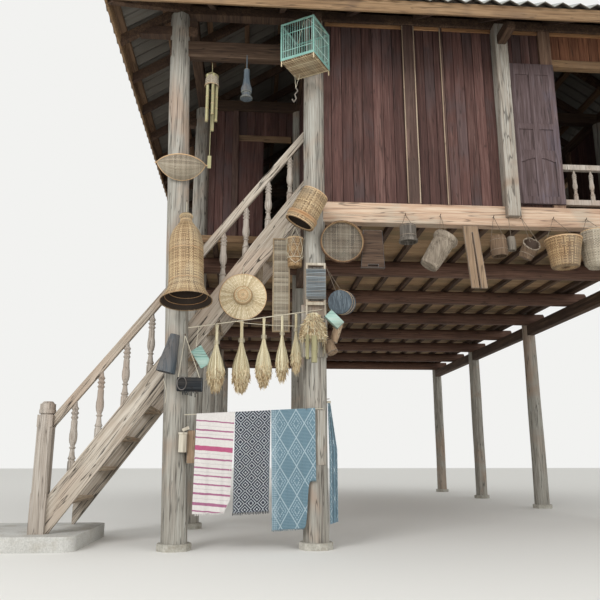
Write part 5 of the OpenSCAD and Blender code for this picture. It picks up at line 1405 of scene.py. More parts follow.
TUBE_FOOT = share(ON_BEAM, (5.736, -0.233, -1.017))
TUBE_WAY = Vector((0.41, -0.27, 0.87)).normalized()
TUBE_CUT = Vector((0.15, -0.79, 0.60)).normalized()
TUBE_BACK = Vector((0.318, 0.938, 0.140))
TUBE_LENGTH, TUBE_RADIUS, RIM_DEGREES = 0.24, 0.105, 6
pot_shape = merged_copy("hung_pots")
cut_points = cut_mouth(pot_shape, TUBE_FOOT + TUBE_WAY * 0.105,
                       TUBE_FOOT + TUBE_WAY * 0.225 + TUBE_BACK * 0.094, TUBE_CUT)
pots = worn("hung_pots", 2, [
    (share(ON_BEAM, (2.514, -0.261, -0.40)), DARK_WOOD),
    (share(ON_BEAM, (3.28, -0.356, -0.9)), TURNED_GREY),
    (share(ON_BEAM, (5.03, -0.239, -0.70)), BELL_WOOD),
    (share(ON_BEAM, (5.439, -0.128, -0.58)), DARK_WOOD),
    (share(ON_BEAM, (5.87, -0.32, -0.75)), BELL_WOOD),
    (share(ON_HEAD, (0.65, -0.18, -2.36)), SLATE_WOOD)], "pot_wood", pot_shape)
pots.data.materials.append(SHADE_LINING)


def along_tube(point):
    """How far a point is along the flared tube, and its way out from the tube's axis."""
    off = point - TUBE_FOOT
    along = off.dot(TUBE_WAY)
    return along, off - TUBE_WAY * along


# The inner wall and foot of the flared tube take the near-black lining: painted shade inside the
# tube.
for polygon in pots.data.polygons:
    along, out = along_tube(polygon.center)
    inside_wall = polygon.normal.dot(out) < -0.5 * out.length
    inside_foot = along > 0.003 and polygon.normal.dot(TUBE_WAY) > 0.8
    if 0 < along < TUBE_LENGTH and out.length < TUBE_RADIUS and (inside_wall or inside_foot):
        polygon.material_index = len(pots.data.materials) - 1
rim_points = {}
for point in cut_points:
    _, out = along_tube(point)
    across, back = out.dot(TUBE_WAY.cross(TUBE_BACK)), out.dot(TUBE_BACK)
    turn = round(math.degrees(math.atan2(across, back)) / RIM_DEGREES)
    if turn not in rim_points or out.length > rim_points[turn][0]:
        rim_points[turn] = (out.length, point)
rod_piece("slanting_rim", [[rim_points[turn][1] for turn in sorted(rim_points)]], TURNED_GREY,
          0.013, slot="pot_wood", closed=True)
worn("hung_woodware", 2.5, [
    (share(ON_LEFT, (-0.22, -0.25, -3.77)), SLATE_WOOD),
    (share(ON_LEFT, (0.287, -0.2, -4.54)), CHAR_WOOD),
    (share(ON_LEFT, (0.356, 0.12, -6.06)), BOARD_WOOD),
    (share(ON_HEAD, (0, -0.05, -1.85)), BOARD_WOOD),
    (share(ON_HEAD, (0.414, -0.5, -2.897)), BOX_PAINT),
    (share(ON_HEAD, (0.343, -0.155, -3.56)), BOARD_WOOD),
    (share(ON_HEAD, (0.55, 0.108, -3.09)), BOARD_WOOD),
    (share(ON_BEAM, (4.45, 0, -0.95)), BOARD_WOOD),
    (share(ON_BEAM, (1.56, 0, -0.8)), BEAM_X)], "beam_wood")

RINGED = [  # foot of the piece, the way it points, and its rings as (height, radius) in shares
    (ON_BEAM, (2.514, -0.261, -0.167), (0, 0, -1), [(0.04, 0.222), (0.30, 0.222)]),
    (ON_BEAM, (3.014, -0.356, -1.333), (0.54, 0, 0.84),
     [(0.10, 0.260), (0.42, 0.279), (0.76, 0.285)]),
    (ON_BEAM, (5.014, -0.239, -0.406), (0.05, 0, -1), [(0.12, 0.219), (0.40, 0.232)]),
    (ON_BEAM, (5.736, -0.233, -1.017), (0.41, -0.27, 0.87), [(0.12, 0.202)]),
    (ON_HEAD, (0.564, -0.406, -2.411), (0.36, 0.92, 0.17), [(0.10, 0.318), (0.38, 0.313)]),
]
bands = [moved(hoops([circle(r * WARE + 0.001, z * WARE, 40) for z, r in rings], TURNED_GREY,
                     0.004, 5), aim(share(start, place), way))
         for start, place, way, rings in RINGED]
piece_from("turned_rings", bands[:-1], TURNED_GREY, "pot_wood")
piece_from("bucket_bands", bands[-1:], RIM_SPLIT, "pot_wood")

# %% [markdown]
# Everything hangs by cord from nails in the rim beam and the columns. The cords are short
# and taut, so each is a straight run from the goods to its nail, of twisted rope. The light
# ones are at the columns and the dark ones on the beam.

# %% Cords and nails
NAIL_Y, NAIL_Z, LAST_LIGHT_X = -0.080, 3.150, 1.45
ON_THE_BEAM = [  # left end in shares, the nail's X, right end in shares
    ((2.30, -0.261, -0.30), 2.205, (2.73, -0.261, -0.30)),
    ((3.26, -0.60, -0.85), 2.560, (3.52, -0.60, -0.70)),
    ((4.83, -0.239, -0.45), 3.105, (5.20, -0.239, -0.45)),
    ((5.439, -0.128, -0.39), 3.258, None),
    ((5.82, -0.47, -0.62), 3.390, (6.02, -0.45, -0.56)),
    ((6.27, -0.5, -0.56), 3.725, (7.20, -0.5, -0.56)),
    ((7.34, -0.422, -0.30), 4.070, (8.05, -0.422, -0.30)),
]
ON_COLUMNS = [
    [(1.055, -0.020, 2.880), (1.105, -0.040, 3.010), (1.160, -0.020, 2.880)],
    [(1.473, -0.270, 2.300), (1.400, -0.150, 2.560), (1.545, -0.180, 2.310)],
    [(0.045, -0.215, 1.490), (0.086, -0.150, 1.884), (0.235, -0.210, 1.488)],
    [(1.155, -0.300, 3.105), (1.255, -0.150, 3.290), (1.245, -0.330, 3.080)],
    [(0.604, 0.128, 2.560), (0.604, 0.136, 2.640)],
    [(0.979, 0.124, 2.935), (1.020, 0.130, 3.060)],
    [(-0.060, -0.290, 3.480), (0.020, -0.132, 3.600), (0.060, -0.250, 3.500)],
]
hangers = [[share(ON_LEFT, (0.033, -0.291, -0.14)), Vector((0.050, -0.140, 3.200))]]
hangers += [[share(ON_BEAM, left), Vector((nail_x, NAIL_Y, NAIL_Z))]
            + ([share(ON_BEAM, right)] if right else []) for left, nail_x, right in ON_THE_BEAM]
hangers += [[Vector(point) for point in cord] for cord in ON_COLUMNS]
cage_top = cage_place @ Vector((CAGE_W / 2, CAGE_W / 2, CAGE_H + 0.15))
corners = [cage_place @ Vector((x, y, CAGE_H - 0.004)) for x in (0.01, CAGE_W - 0.01)
           for y in (0.01, CAGE_W - 0.01)]
hangers += [[corners[0], cage_top, corners[3]], [corners[1], cage_top, corners[2]]]
light = [cord for cord in hangers if cord[0].x < LAST_LIGHT_X]
dark = [cord for cord in hangers if cord not in light]
piece_from("hanging_cords", [ropes([cord], CORD, 0.0036, 0.030) for cord in light], CORD, "straw")
piece_from("dark_cords", [ropes([cord], DARK_CORD, 0.0032, 0.030, 0.012) for cord in dark],
           DARK_CORD, "straw")
nailed_at = [cord[1] for cord in hangers[:12]] + [Vector((1.345, ON_BEAM.y, 3.155))]
rod_piece("iron_nails", [[spot + Vector((0, y, z)) for y, z in (
    (0.030, -0.004), (-0.010, 0.004), (-0.016, 0.014))] for spot in nailed_at], IRON, 0.008)

# %% [markdown]
# Small boards fill the gaps between the larger goods: a ribbed wash board with a pale
# frame, a thin square plate on a cord under the line, a small box with a tag on the left
# column, a board nailed up the side of the stair's head column and one behind the wash board.

# %% Small boards
wash_low = share(ON_HEAD, (-0.278, -0.094, -2.433))
wide, high, rail = 0.533 * WARE, 1.153 * WARE, 0.018
ribs = moved(laid_boards((0.186, 0.010, 0.300), UPRIGHT, BOARD_GREY, 20, 31, 0.005, 0.0006),
             Matrix.Translation(wash_low + Vector((0.003, -0.012, 0.054))))
piece_from("wash_board_ribs", [ribs], BOARD_GREY, "beam_wood", None)
frame_bars = [board_between(wash_low + Vector((x0, front, z0)), wash_low + Vector((x1, 0.001, z1)))
              for x0, x1, front, z0, z1 in (
    (0, rail, -0.006, 0, high), (wide - rail, wide, -0.006, 0, high),
    (rail, wide - rail, -0.005, 0, 0.030), (rail, wide - rail, -0.005, high - 0.024, high),
    (0, 0.016, -0.006, -0.100, 0), (wide - 0.016, wide, -0.006, -0.100, 0))]
piece_from("wash_board_frame", frame_bars, PALE_BOARD, "beam_wood", None)
plate = board_between((-0.055, -0.006, -0.095), (0.055, 0.006, 0.095))
piece_from("hung_plate", [moved(plate, at(0.236, -0.135, 1.690, -32, "Y"))], BOX_PAINT,
           "beam_wood", None)
rope_piece("plate_cord", [[(0.186, -0.135, 1.765), (0.205, -0.133, 1.972)]], 0.0028)
box = board_between((0.066, -0.172, 0.835), (0.136, -0.112, 1.005), 0.004)
tag = board_between((-0.032, -0.003, -0.014), (0.032, 0.003, 0.014), 0.0015)
lid = board_between((0.062, -0.176, 0.990), (0.140, -0.112, 1.010), 0.003)
piece_from("small_box", [box, moved(tag, at(0.124, -0.150, 1.040, -24, "Y")), lid], PALE_BOARD,
           "beam_wood", None)
nailed = board_between((-0.043, -0.016, 0.725), (0.043, 0.0, 1.215), 0.003)
backing = board_between((1.160, -0.1245, 1.700), (1.405, -0.108, 2.200), 0.003)
piece_from("nailed_board", [moved(nailed, at(1.300, 0, 0, 21) @ at(0, -0.104, 0)), backing],
           POST, "log_wood", None)

# %% [markdown]
# Smaller things: a carved hook under the cage, of the kind that holds a lid shut, the
# pointed ends of the tray, and the string and the net of thin cord round the small basket.
# The charred log has a hoop on its front, a row of pegs under it and a cord's end beside it.

# %% Hook, string, net and pegs
rod_piece("carved_hook", [[(x, -0.215, z) for x, z in (
    (1.098, 4.430), (1.118, 4.395), (1.088, 4.352), (1.104, 4.310), (1.078, 4.268),
    (1.062, 4.300))]], DARK_WOOD, 0.016, 8, "pot_wood")
rope_piece("hook_cords", [[(1.098, -0.215, 4.425), end] for end in (
    (1.085, -0.235, 4.572), (1.140, -0.250, 4.572))])
tips = [Vector(tray_point(u, 0.0)[0]) for u in (-1.0, 1.0)]
rod_piece("tray_ends", [[tip, tip * 1.10 + Vector((0, 0, 0.018))] for tip in tips], RIM_SPLIT,
          0.014, 6, "wicker", tray_place)
rope_piece("basket_string", [[(1.022, -0.078, 2.735), (1.060, -0.094, 2.660),
                              (1.104, -0.100, 2.622), (1.148, -0.094, 2.655),
                              (1.186, -0.066, 2.700)]])
NET_TURN, NET_CORDS, NET_ROWS = 1.1, 7, 10
net_outline = np.array(sized([(0.24, 0.205), (0.694, 0.222), (0.806, 0.233)]))
net_heights = np.linspace(net_outline[0, 0], net_outline[-1, 0], NET_ROWS)
net_reach = np.interp(net_heights, *net_outline.T) + 0.005
net_turns = np.linspace(0, NET_TURN, NET_ROWS)
net = [turned_round(net_reach, FULL_TURN * k / NET_CORDS + way * net_turns, net_heights)
       for way in (-1, 1) for k in range(NET_CORDS)]
net_ring = circle(net_reach[0], net_heights[0], 40)
piece_from("basket_net", [bars(net, CORD, 0.0045, 5), hoops([net_ring], CORD, 0.006, 5)], CORD,
           "straw", 60, Matrix.Translation(BASKETS["side_basket"][0]))
LOG_FRONT, LOG_UNDER = -0.262, 1.371
hoop = hoops([circle(0.050, 0.0, 32) * (0.8, 1.15, 1.0)], DARK_CORD, 0.010)
pegs = [[(x, -0.235, LOG_UNDER + 0.004), (x + rng.uniform(-0.006, 0.006), -0.237,
                                          LOG_UNDER - rng.uniform(0.022, 0.062))]
        for x in np.linspace(0.095, 0.215, 9)]
piece_from("log_hoop", [moved(hoop, at(0.083, LOG_FRONT, 1.433, 90, "X"))], SLATE_WOOD,
           "beam_wood")
rod_piece("log_pegs", pegs, CHAR_WOOD, 0.010, 5, "beam_wood")
rope_piece("cord_end", [[(-0.085, -0.205, 1.475), (-0.062, -0.205, 1.400),
                         (-0.055, -0.204, 1.335), (-0.063, -0.203, 1.262)]], 0.0028)

# %% [markdown]
# Grain hangs from the upper line in sheaves, ears down: a thin bound neck of stalks that
# swells into a bulb and ends in ragged ears. Each sheaf is a core that nothing shows of,
# stalks laid along it from the neck down, and a coat of ears over its lower half.

# %% Surfaces and stalks of straw
COAT_ROWS, COAT_SIDES, STALK_POINTS = 9, 28, 12


def solid_round(outline):
    """A closed round core from an outline of (height, radius)."""
    return spun([(outline[0][0], 0.0), *outline, (outline[-1][0], 0.0)], 32)


def coat(outline, low, high, spread):
    """The surface of a round outline between two heights, carrying the way its straw points."""
    heights = np.linspace(low, high, COAT_ROWS)
    points, ways, faces = [], [], []
    for z, r in zip(heights, np.interp(heights, *np.array(outline, float).T)):
        for k in range(COAT_SIDES):
            turn = 2 * math.pi * k / COAT_SIDES
            points.append((r * math.cos(turn), r * math.sin(turn), z))
            ways.append((spread * math.cos(turn), spread * math.sin(turn), -1.0))
    for row in range(0, (COAT_ROWS - 1) * COAT_SIDES, COAT_SIDES):
        for k in range(COAT_SIDES):
            here, after = row + k, row + (k + 1) % COAT_SIDES
            faces.append((here, after, after + COAT_SIDES, here + COAT_SIDES))
    mesh = bpy.data.meshes.new("coat")
    mesh.from_pydata(points, [], faces)
    set_values(mesh, "way", ways)
    return mesh


def straw_on(surface, density, length, width, disorder, seed, material):
    return grow(straw, {"Density": density, "Length": length, "Width": width,
                        "Disorder": disorder, "Seed": seed, "Material": material}, surface)


def stalk_lines(outline, count, low, high, width, jitter=0.004):
    """Stalks along a round outline, from top to bottom, each a little out of line."""
    heights = np.linspace(high, low, STALK_POINTS)
    radii = np.interp(heights, *np.array(outline, float).T)
    lines = []
    for k in range(count):
        turn = 2 * math.pi * (k + rng.uniform(-0.4, 0.4)) / count
        turn = turn + rng.uniform(-0.25, 0.25) * np.linspace(0, 1, STALK_POINTS)
        reach = radii + rng.uniform(-jitter, 0.3 * jitter)
        lines.append((turned_round(reach, turn, heights), turned_round(1.0, turn, 0.0), 0.0,
                      width * rng.uniform(0.7, 1.2), False))
    return lines


# %% Sheaves of grain
SHEAF = 0.640
SHEAF_SHAPE = [(0.00, 0.30), (0.06, 0.62), (0.16, 0.94), (0.28, 1.00), (0.42, 0.82), (0.56, 0.46),
               (0.68, 0.26), (0.96, 0.22), (1.00, 0.28)]
SHEAVES = [  # place along the line, length and radius, all in shares
    (0.261, 0.922, 0.141), (0.445, 1.0, 0.144), (0.609, 0.969, 0.131), (0.745, 0.93, 0.108),
    (0.848, 0.84, 0.09)]
LINE_X0, LINE_X1, LINE_Y, LINE_D = 0.045, 1.300, -0.129, 0.010
UPPER_LINE, LOWER_LINE = (1.952, 2.146), (1.162, 1.225)


def line_height(ends, x):
    return ends[0] + (ends[1] - ends[0]) * (x - LINE_X0) / (LINE_X1 - LINE_X0)


cores, stalks, ears, bindings = [], [], [], []
for number, (along, length, radius) in enumerate(SHEAVES):
    x = LINE_X0 + along * (LINE_X1 - LINE_X0)
    foot = Matrix.Translation((x, LINE_Y, line_height(UPPER_LINE, x) - LINE_D - length * SHEAF))
    shape = sized(SHEAF_SHAPE, length * SHEAF, radius * SHEAF)
    bulb, high = drawn_in(shape, 0.016, 0.006), shape[-1][0]
    cores.append(moved(solid_round(drawn_in(shape[1:-1], 0.014, 0.004)), foot))
    stalks.append(moved(woven(stalk_lines(drawn_in(shape, 0.009, 0.010), 52, high * 0.14, high,
                                          0.0085), 0.5, 0.001, STRAW), foot))
    ears += [moved(straw_on(coat(bulb, low, top, spread), *straws), foot)
             for low, top, spread, *straws in (
        (0.02, high * 0.36, 0.10, 5200.0, 0.046, 0.0115, 0.34, 40 + number, EARS),
        (high * 0.30, high * 0.56, 0.20, 3400.0, 0.060, 0.007, 0.08, 60 + number, STRAW),
        (0.012, high * 0.09, 0.0, 9000.0, 0.058, 0.009, 0.16, 80 + number, EARS))]
    loops = [circle(0.26 * radius * SHEAF + 0.004, high * part, 24) for part in (0.70, 0.72, 0.74)]
    tie = [(0, 0.020, high - 0.012), (0.001, 0.013, high + 0.012), (0, 0, high + 0.017),
           (-0.001, -0.013, high + 0.012), (0, -0.020, high - 0.012)]
    bindings += [moved(hoops(loops, CORD, 0.005, 5), foot),
                 moved(bars([tie], CORD, 0.005, 5), foot)]
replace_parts(piece_from("sheaf_ears", ears, EARS, "straw"), "grain_sheaves")
piece_from("sheaf_stalks", stalks, STRAW, "straw")
piece_from("sheaf_cores", cores, STRAW, "straw")
piece_from("sheaf_bindings", bindings, CORD, "straw")

# %% [markdown]
# A skirt of straw hangs low on the stair's head column, its top hidden by a bunch of dry
# heads. A few of its stalks are full length and the others end higher, as if worn off. Two
# short bamboo tubes hang in front of it. The two lines are twisted rope, pulled tight
# between the columns, and a spare end of cord lies along the upper one.

# %% Straw skirt, tubes and lines
skirt_place = Matrix.Translation(share(ON_HEAD, (-0.108, -0.356, -3.797)))
SKIRT = sized(((0, 0.344), (0.167, 0.35), (0.778, 0.267), (0.972, 0.167), (1.083, 0.111)))
SKIRT_HEM, SKIRT_HIGH = 0.135, SKIRT[-1][0]
skirt_stalks = woven(stalk_lines(SKIRT, 80, SKIRT_HEM, SKIRT_HIGH, 0.0115, 0.006)
                     + stalk_lines(SKIRT, 12, 0.006, SKIRT_HIGH, 0.0060, 0.006), 0.4, 0.001, STRAW)
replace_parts(piece_from("skirt_stalks", [skirt_stalks], STRAW, "straw", 60, skirt_place),
            "straw_bundle")
skirt_coats = [
    straw_on(coat(SKIRT, SKIRT_HEM + 0.03, SKIRT_HIGH * 0.62, 0.05), 2600.0, 0.075, 0.009, 0.10,
             91, STRAW),
    straw_on(coat(SKIRT, SKIRT_HIGH * 0.42, SKIRT_HIGH * 0.97, 0.8), 6500.0, 0.034, 0.012, 0.9,
             92, EARS)]
piece_from("skirt_heads", skirt_coats, EARS, "straw", 60, skirt_place)
piece_from("skirt_core", [solid_round([(0.145, 0.098), (0.18, 0.100), (0.28, 0.085),
                                       (0.36, 0.04)])], CORD, "straw", 60, skirt_place)
hung_tubes, tube_cords = [], []
for x, radius, low, high in ((1.193, 0.015, 1.640, 1.860), (1.254, 0.026, 1.610, 1.850)):
    tube = turned_shell([(0, 0), (0, radius), (0.105, radius), (0.110, radius * 1.09),
                         (0.115, radius), (high - low, radius * 0.98)], 0.004, 24)
    hung_tubes.append(moved(tube, at(x, -0.392 - radius, low)))
    tube_cords.append([(x, -0.392 - radius * 0.5, high - 0.01), (x + 0.02, -0.330, 2.000)])
piece_from("hung_bamboo_tubes", hung_tubes, BAMBOO_TUBE, "straw", 40)
rope_piece("tube_cords", tube_cords)
upper, lower = ([(x, LINE_Y, line_height(ends, x)) for x in (0.105, 1.360)]
                for ends in (UPPER_LINE, LOWER_LINE))
spare = [(x, LINE_Y - off, z) for x, off, z in (
    (0.560, 0.008, 2.026), (0.640, 0.009, 2.012), (0.860, 0.009, 1.996), (1.150, 0.006, 1.990))]
lines_piece = piece_from("twisted_lines", [
    ropes([upper], CORD, 0.0047, 0.034, 0.008), ropes([lower], CORD, 0.0040, 0.030, 0.008),
    bars([spare], CORD, 0.005, 5)], CORD, "straw")
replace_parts(lines_piece, "hung_lines")

# %% [markdown]
# The chime is five bamboo tubes under a small woven cap, with a turned bell beside it. The
# tubes hang lower here than in the frame, as they do on the real one, so the points at
# their ends are moved down. Rings of cane mark the tubes' joints.

# %% Bamboo chime
CHIME_DROP, CHIME_TOP, CHIME_RING, CHIME_TUBES = 0.125, Vector((0.250, -0.135, 4.570)), 0.139, 5
# The turned bell beside the chime takes the darker slate finish as painted shade: the bell hangs
# in shade.
chime = worn("bamboo_chime", 1, [(Vector((0.250, -0.135, 4.300)), BAMBOO_TUBE),
                                 (Vector((0.600, -0.135, 4.550)), SLATE_WOOD)], "straw")
lowered = 0
for vert in chime.data.vertices:
    off = vert.co - CHIME_TOP
    if 0.03 < off.xy.length < 0.08 and off.z < -0.15:
        vert.co.z -= CHIME_DROP
        lowered += 1
print("points at the ends of the chime's tubes lowered:", lowered)
joints = []
for k, length in enumerate((1.056, 1.278, 0.972, 1.111, 0.917)):
    turn = 2 * math.pi * k / CHIME_TUBES
    middle = CHIME_TOP + Vector((CHIME_RING * WARE * math.cos(turn),
                                 CHIME_RING * WARE * math.sin(turn), -CHIME_DROP))
    joints += [circle(0.0142, 0, 16) + np.array(middle - Vector((0, 0, length * WARE * part)))
               for part in (0.30, 0.62, 0.97)]
rod_piece("chime_joints", joints, RIM_SPLIT, 0.005, 5, closed=True)
cap_place = aim(CHIME_TOP + Vector((0, 0, 0.020)), (0, 0, -1))
woven_vessel("chime_cap", [(0.000, 0.030), (0.020, 0.052), (0.060, 0.064), (0.135, 0.068)],
             cap_place, 0.0110, 0.013, 0.0085, 0.0020, GREY_SPLIT, "straw")
cap_hoops = [circle(0.070, 0.006, 32) * (0.5, 0.5, 1.0), circle(0.070, 0.134, 32)]
rod_piece("chime_cap_rim", cap_hoops, RIM_SPLIT, 0.006, 5, place=cap_place, closed=True)

# %% [markdown]
# Three hand woven cloths hang over the lower line. Each is one sheet, folded over the line
# with its longer half in front, with soft upright folds that grow towards the hem. The
# woven bands and lozenges are drawn from each cloth's own width and length in metres, so
# they follow the folds. Cotton is matt, and its threads of 4.5 to 5 mm are drawn some ten
# times coarser than real ones, which would not show.

# %% Woven patterns
def flat_place(tree):
    """Across and along the flat cloth, in metres."""
    flat = add(tree, "ShaderNodeUVMap", uv_map="flat cloth")
    return [add(tree, "ShaderNodeSeparateXYZ", {"Vector": flat}, axis) for axis in "XY"]


def end_cloth(tree, colour, across, along, thread_mm=4.5):
    """The threads' relief, a soft shade from thread to thread, and a matt cotton surface."""
    warp, weft = ((way * (2 * math.pi / (thread_mm * MM))).math("SINE") for way in (across, along))
    place = add(tree, "ShaderNodeTexCoord", output="Object")
    slub, wear = (
        add(tree, "ShaderNodeTexNoise", {"Vector": place, "Scale": 1000.0 / size_mm,
                                         "Detail": detail, "Roughness": rough}, "Fac")
        for size_mm, detail, rough in ((12, 4.0, 0.6), (240, 3.0, 0.55)))
    shade = slub * 0.30 + (wear * 0.22 + 0.72)
    end_finish(tree, shaded(colour, shade), 0.92, 0.2, warp * weft + slub, 0.35, 1.0,
               **{"Sheen Weight": 0.25})


def lozenge(across, along, wide, high):
    """0 at the middle of each lozenge of a lattice and 1 at its corners."""
    return sum(((value / pitch).math("FRACT") - 0.5).math("ABSOLUTE")
               for value, pitch in ((across, wide), (along, high)))


BAND_DROP, FINE_LINE, WAVE_MM = 0.125, 0.0022, 70
ROSE_BANDS = [(0.060, 0.006), (0.140, 0.007), (0.208, 0.007), (0.390, 0.008), (0.468, 0.007),
              (0.534, 0.007), (0.608, 0.007), (0.688, 0.009), (0.775, 0.013), (0.835, 0.006)]
FINE_LINES = (0.101, 0.174, 0.345, 0.430, 0.502, 0.571, 0.648, 0.730)
BANDED, tree = new_finish("hand woven cotton, white with rose bands")
across, along = flat_place(tree)
place = add(tree, "ShaderNodeTexCoord", output="Object")
waves = add(tree, "ShaderNodeTexNoise", {
    "Vector": place, "Scale": 1000.0 / WAVE_MM, "Detail": 3.0, "Roughness": 0.55}, "Fac")
wavy = waves * 0.012 + (across * -BAND_DROP + along)
rose = sum(wavy.math("COMPARE", middle, half) for middle, half in ROSE_BANDS)
fine_lines = sum(wavy.math("COMPARE", middle, FINE_LINE) for middle in FINE_LINES)
dyed = "#D0CCC8"
for amount, dye in ((fine_lines * 0.45, "#A08998"), (rose, "#9C6581"),
                    (wavy.math("COMPARE", 0.298, 0.021), "#AD5778")):
    dyed = add(tree, "ShaderNodeMix", {0: amount, 6: dyed, 7: dye}, 2, data_type="RGBA")
end_cloth(tree, dyed, across, along, 5.0)

LATTICE, tree = new_finish("hand woven cotton, blue black with white lozenges")
across, along = flat_place(tree)
rings = (lozenge(across, along, 0.1067, 0.106) * 4.0).math("FRACT") > 0.66
small = lozenge(across, along, 0.0178, 0.0177)
pale = (rings * (small > 0.26)).math("MAXIMUM", (small < 0.30) * 0.16)
dyed = add(tree, "ShaderNodeMix", {0: pale, 6: "#1C2431", 7: "#B5BABE"}, 2, data_type="RGBA")
end_cloth(tree, dyed, across, along)

TEAL, tree = new_finish("hand woven cotton, grey blue with pale lozenges")
across, along = flat_place(tree)
big, small = lozenge(across, along, 0.150, 0.250), lozenge(across, along, 0.0150, 0.0156)
inner = big.math("COMPARE", 0.18, 0.030).math("MAXIMUM", big.math("COMPARE", 0.34, 0.018))
fine_weft = (along / 0.0125).math("FRACT").math("COMPARE", 0.5, 0.16)
pale = big.math("COMPARE", 0.5, 0.030) * 0.62
for pattern, strength in ((inner * (small > 0.42), 0.62),
                          ((across < 0.050) * (small < 0.40), 0.6), (fine_weft, 0.22)):
    pale = pale.math("MAXIMUM", pattern * strength)
dyed = add(tree, "ShaderNodeMix", {0: pale, 6: "#5A7683", 7: "#BAC8CE"}, 2, data_type="RGBA")
end_cloth(tree, dyed, across, along)
print("cloth finishes: 3, rose bands:", len(ROSE_BANDS) + 1)

# %% [markdown]
# A cloth is a grid over its width and its length. A row's place comes from how far it is
# along the flat cloth: up the front, over the line, and down the back. The hem of the
# white one is narrower, because its edges curl in, and one side of the blue one is shorter.

# %% Hung cloths
THICK, OVER_R = 0.0022, 0.0085
COLUMNS, ROWS = 72, 96


def cloth_sheet(name, material, columns, rows, spot):
    """One sheet from a function that gives, for a column and a row, the point and where on
    the flat cloth it is."""
    shape = bmesh.new()
    flat = shape.loops.layers.uv.new("flat cloth")
    grid = []
    for column in range(columns + 1):
        spots = [spot(column, row) for row in range(rows + 1)]
        grid.append([(shape.verts.new(point), place) for point, place in spots])
    for first, second in zip(grid, grid[1:]):
        for k in range(rows):
            corners = (first[k], second[k], second[k + 1], first[k + 1])
            face = shape.faces.new([vert for vert, _ in corners])
            for loop, (_, place) in zip(face.loops, corners):
                loop[flat].uv = place
    bmesh.ops.recalc_face_normals(shape, faces=shape.faces)
    bmesh.ops.solidify(shape, geom=shape.faces[:], thickness=THICK)
    return to_object(name, shape, material, "cloth", 60)


def hung_cloth(name, x0, width, front, back, material, folds, depth, seed, narrow, shift, rise):
    """A sheet over the lower line. Rise gives how much shorter its front is across it."""
    phase = np.random.default_rng(seed).uniform(0, 2 * math.pi, 4)
    top_x, over = x0 + width / 2, math.pi * OVER_R

    def spot(column, row):
        share_x = column / COLUMNS
        short = rise(share_x) if rise else 0.0
        gone = short + (front - short + over + back) * row / ROWS
        down = max(front - gone, 0.0) if gone < front else max(gone - front - over, 0.0)
        reach = down / front
        x = top_x + (share_x - 0.5) * width * (1 - narrow * reach) + shift * reach
        wave = (math.sin(2 * math.pi * folds * share_x + phase[0] + 0.9 * reach)
                + 0.5 * math.sin(2 * math.pi * folds * 2.3 * share_x + phase[1] - 0.6 * reach))
        out = (depth * wave * min(1.0, reach * 1.6)
               + 0.004 * math.sin(4.0 * reach + phase[2]) * reach)
        top = line_height(LOWER_LINE, x) + 0.001
        if gone < front:
            y, z = LINE_Y - OVER_R + min(out, 0.012) - 0.002 * reach, top - down
        elif gone < front + over:
            turn = (gone - front) / OVER_R
            y, z = LINE_Y - OVER_R * math.cos(turn), top + OVER_R * math.sin(turn)
        else:
            y, z = LINE_Y + OVER_R + 0.004 * reach + 0.35 * max(out, -0.01), top - down
        return (x, y, z), (share_x * width, front - gone)

    return cloth_sheet(name, material, COLUMNS, ROWS, spot)


def fringe(name, spots, material, length):
    """Short threads that hang from a hem, each a little askew."""
    threads = []
    for x, y, z in spots:
        lean = rng.uniform(-0.3, 0.3)
        low = z - length * rng.uniform(0.7, 1.15)
        threads.append([(x, y, z + 0.004), (x + 0.2 * lean * length, y, (z + low) / 2),
                        (x + lean * length, y + rng.uniform(-0.004, 0.004), low)])
    return rod_piece(name, threads, material, 0.0032, 4, "cloth")


def curled(share_x):
    """The white cloth's right corner is worn round."""
    return 0.10 * max(0.0, share_x - 0.84) / 0.16


def cut_back(share_x):
    """The grey blue cloth is shorter at its right side."""
    return 0.40 / (1 + math.exp(-(share_x - 0.80) * 60))


CLOTHS = [  # left, width and front as shares; back; finish, folds, depth, seed; hem; tassel
    ("white_cloth", 0.135, 0.272, 0.835, 0.62,
     BANDED, 2.2, 0.0070, 3, 0.05, -0.020, curled, 0.016),
    ("lozenge_cloth", 0.410, 0.255, 0.845, 0.66,
     LATTICE, 1.8, 0.0060, 8, 0.01, -0.006, None, 0.020),
    ("grey_blue_cloth", 0.669, 0.319, 1.000, 0.50,
     TEAL, 2.6, 0.0075, 12, 0.02, 0.012, cut_back, 0.012)]
CLOTH_LONG, THREAD_PITCH = 1.030, 0.0055
span = LINE_X1 - LINE_X0
for name, left, wide, long, back, material, *shape_values, tassel in CLOTHS:
    width, front, x0 = wide * span, long * CLOTH_LONG, LINE_X0 + left * span
    piece = hung_cloth(name, x0, width, front, back, material, *shape_values)
    low = {}
    for vert in piece.data.vertices:
        if vert.co.y < LINE_Y - 0.002:
            key = round(vert.co.x / THREAD_PITCH)
            if key not in low or vert.co.z < low[key].z:
                low[key] = vert.co.copy()
    spots = [tuple(co) for co in low.values() if co.z < line_height(LOWER_LINE, x0) - 0.4 * front]
    hem = fringe(name + "_fringe", spots, material, tassel)
    flat_length = front + math.pi * OVER_R + back
    if name == "white_cloth":
        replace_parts(piece, "hung_cloths")
    print(name, "flat", round(width, 3), "x", round(flat_length, 3), "m, threads", len(spots))

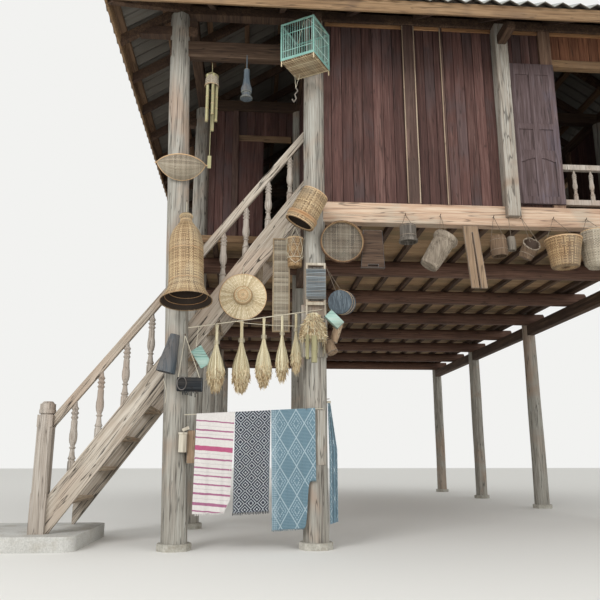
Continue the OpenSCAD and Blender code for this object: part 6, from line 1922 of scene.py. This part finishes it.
# %% [markdown]
# A long tail of grey blue cloth hangs from a nail on the side of the stair's head column.
# It is gathered at the nail, so its folds are deep at the top and open towards the hem.

# %% The gathered tail
TAIL_WIDTH, TAIL_LONG, TAIL_TOP = 0.150, 1.085, Vector((1.408, -0.066, 1.300))
TAIL_COLUMNS, TAIL_ROWS, TAIL_FOLDS = 40, 70, 2.5


def tail_spot(column, row):
    share_x, reach = column / TAIL_COLUMNS, row / TAIL_ROWS
    opened = min(1.0, reach * 2.4)
    spread = 0.022 + 0.050 * opened
    fold = math.sqrt(max((TAIL_WIDTH * 0.92) ** 2 - spread ** 2, 0.0)) / 11.0
    x = TAIL_TOP.x + 0.012 * opened + share_x * spread
    y = TAIL_TOP.y + fold * math.sin(share_x * 2 * math.pi * TAIL_FOLDS + 0.6 + reach * 0.8)
    z = TAIL_TOP.z - reach * TAIL_LONG + 0.020 * share_x * reach
    return (x, y, z), (share_x * TAIL_WIDTH + 0.06, reach * TAIL_LONG)


tail = cloth_sheet("gathered_tail", TEAL, TAIL_COLUMNS, TAIL_ROWS, tail_spot)
tail_nail = rod_piece("tail_nail", [[(1.380, -0.050, 1.318), (1.426, -0.064, 1.322)]], IRON, 0.008)
knot = [circle(0.016, z, 20) * (1.0, 0.9, 1.0) + np.array((1.420, -0.066, 1.285))
        for z in (0.0, 0.007, 0.014)]
tail_knot = rod_piece("tail_knot", knot, CORD, 0.006, 5, closed=True)

# %% [markdown]
# Turned work, stones, plinth and sheets keep the frame's own shapes, which are already
# round or rough enough, and take their finish from the materials above.

# %% Finishes on the frame's own meshes
KEPT = {
    "column_footings": STONE, "stair_plinth": CONCRETE, "stair_newel": TURNED,
    "stair_balusters": TURNED, "window_balustrades": TURNED, "end_roof_sheets": SHEET_END,
    "side_roof_sheets": SHEET_SIDE, "roof_caps": SHEET_SIDE,
}
for node, material in KEPT.items():
    for material_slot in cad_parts[node].material_slots:
        material_slot.material = material
worn("shutters", 3, SHADED_LEAF, "plank_wood")
print("kept frame meshes:", len(KEPT))
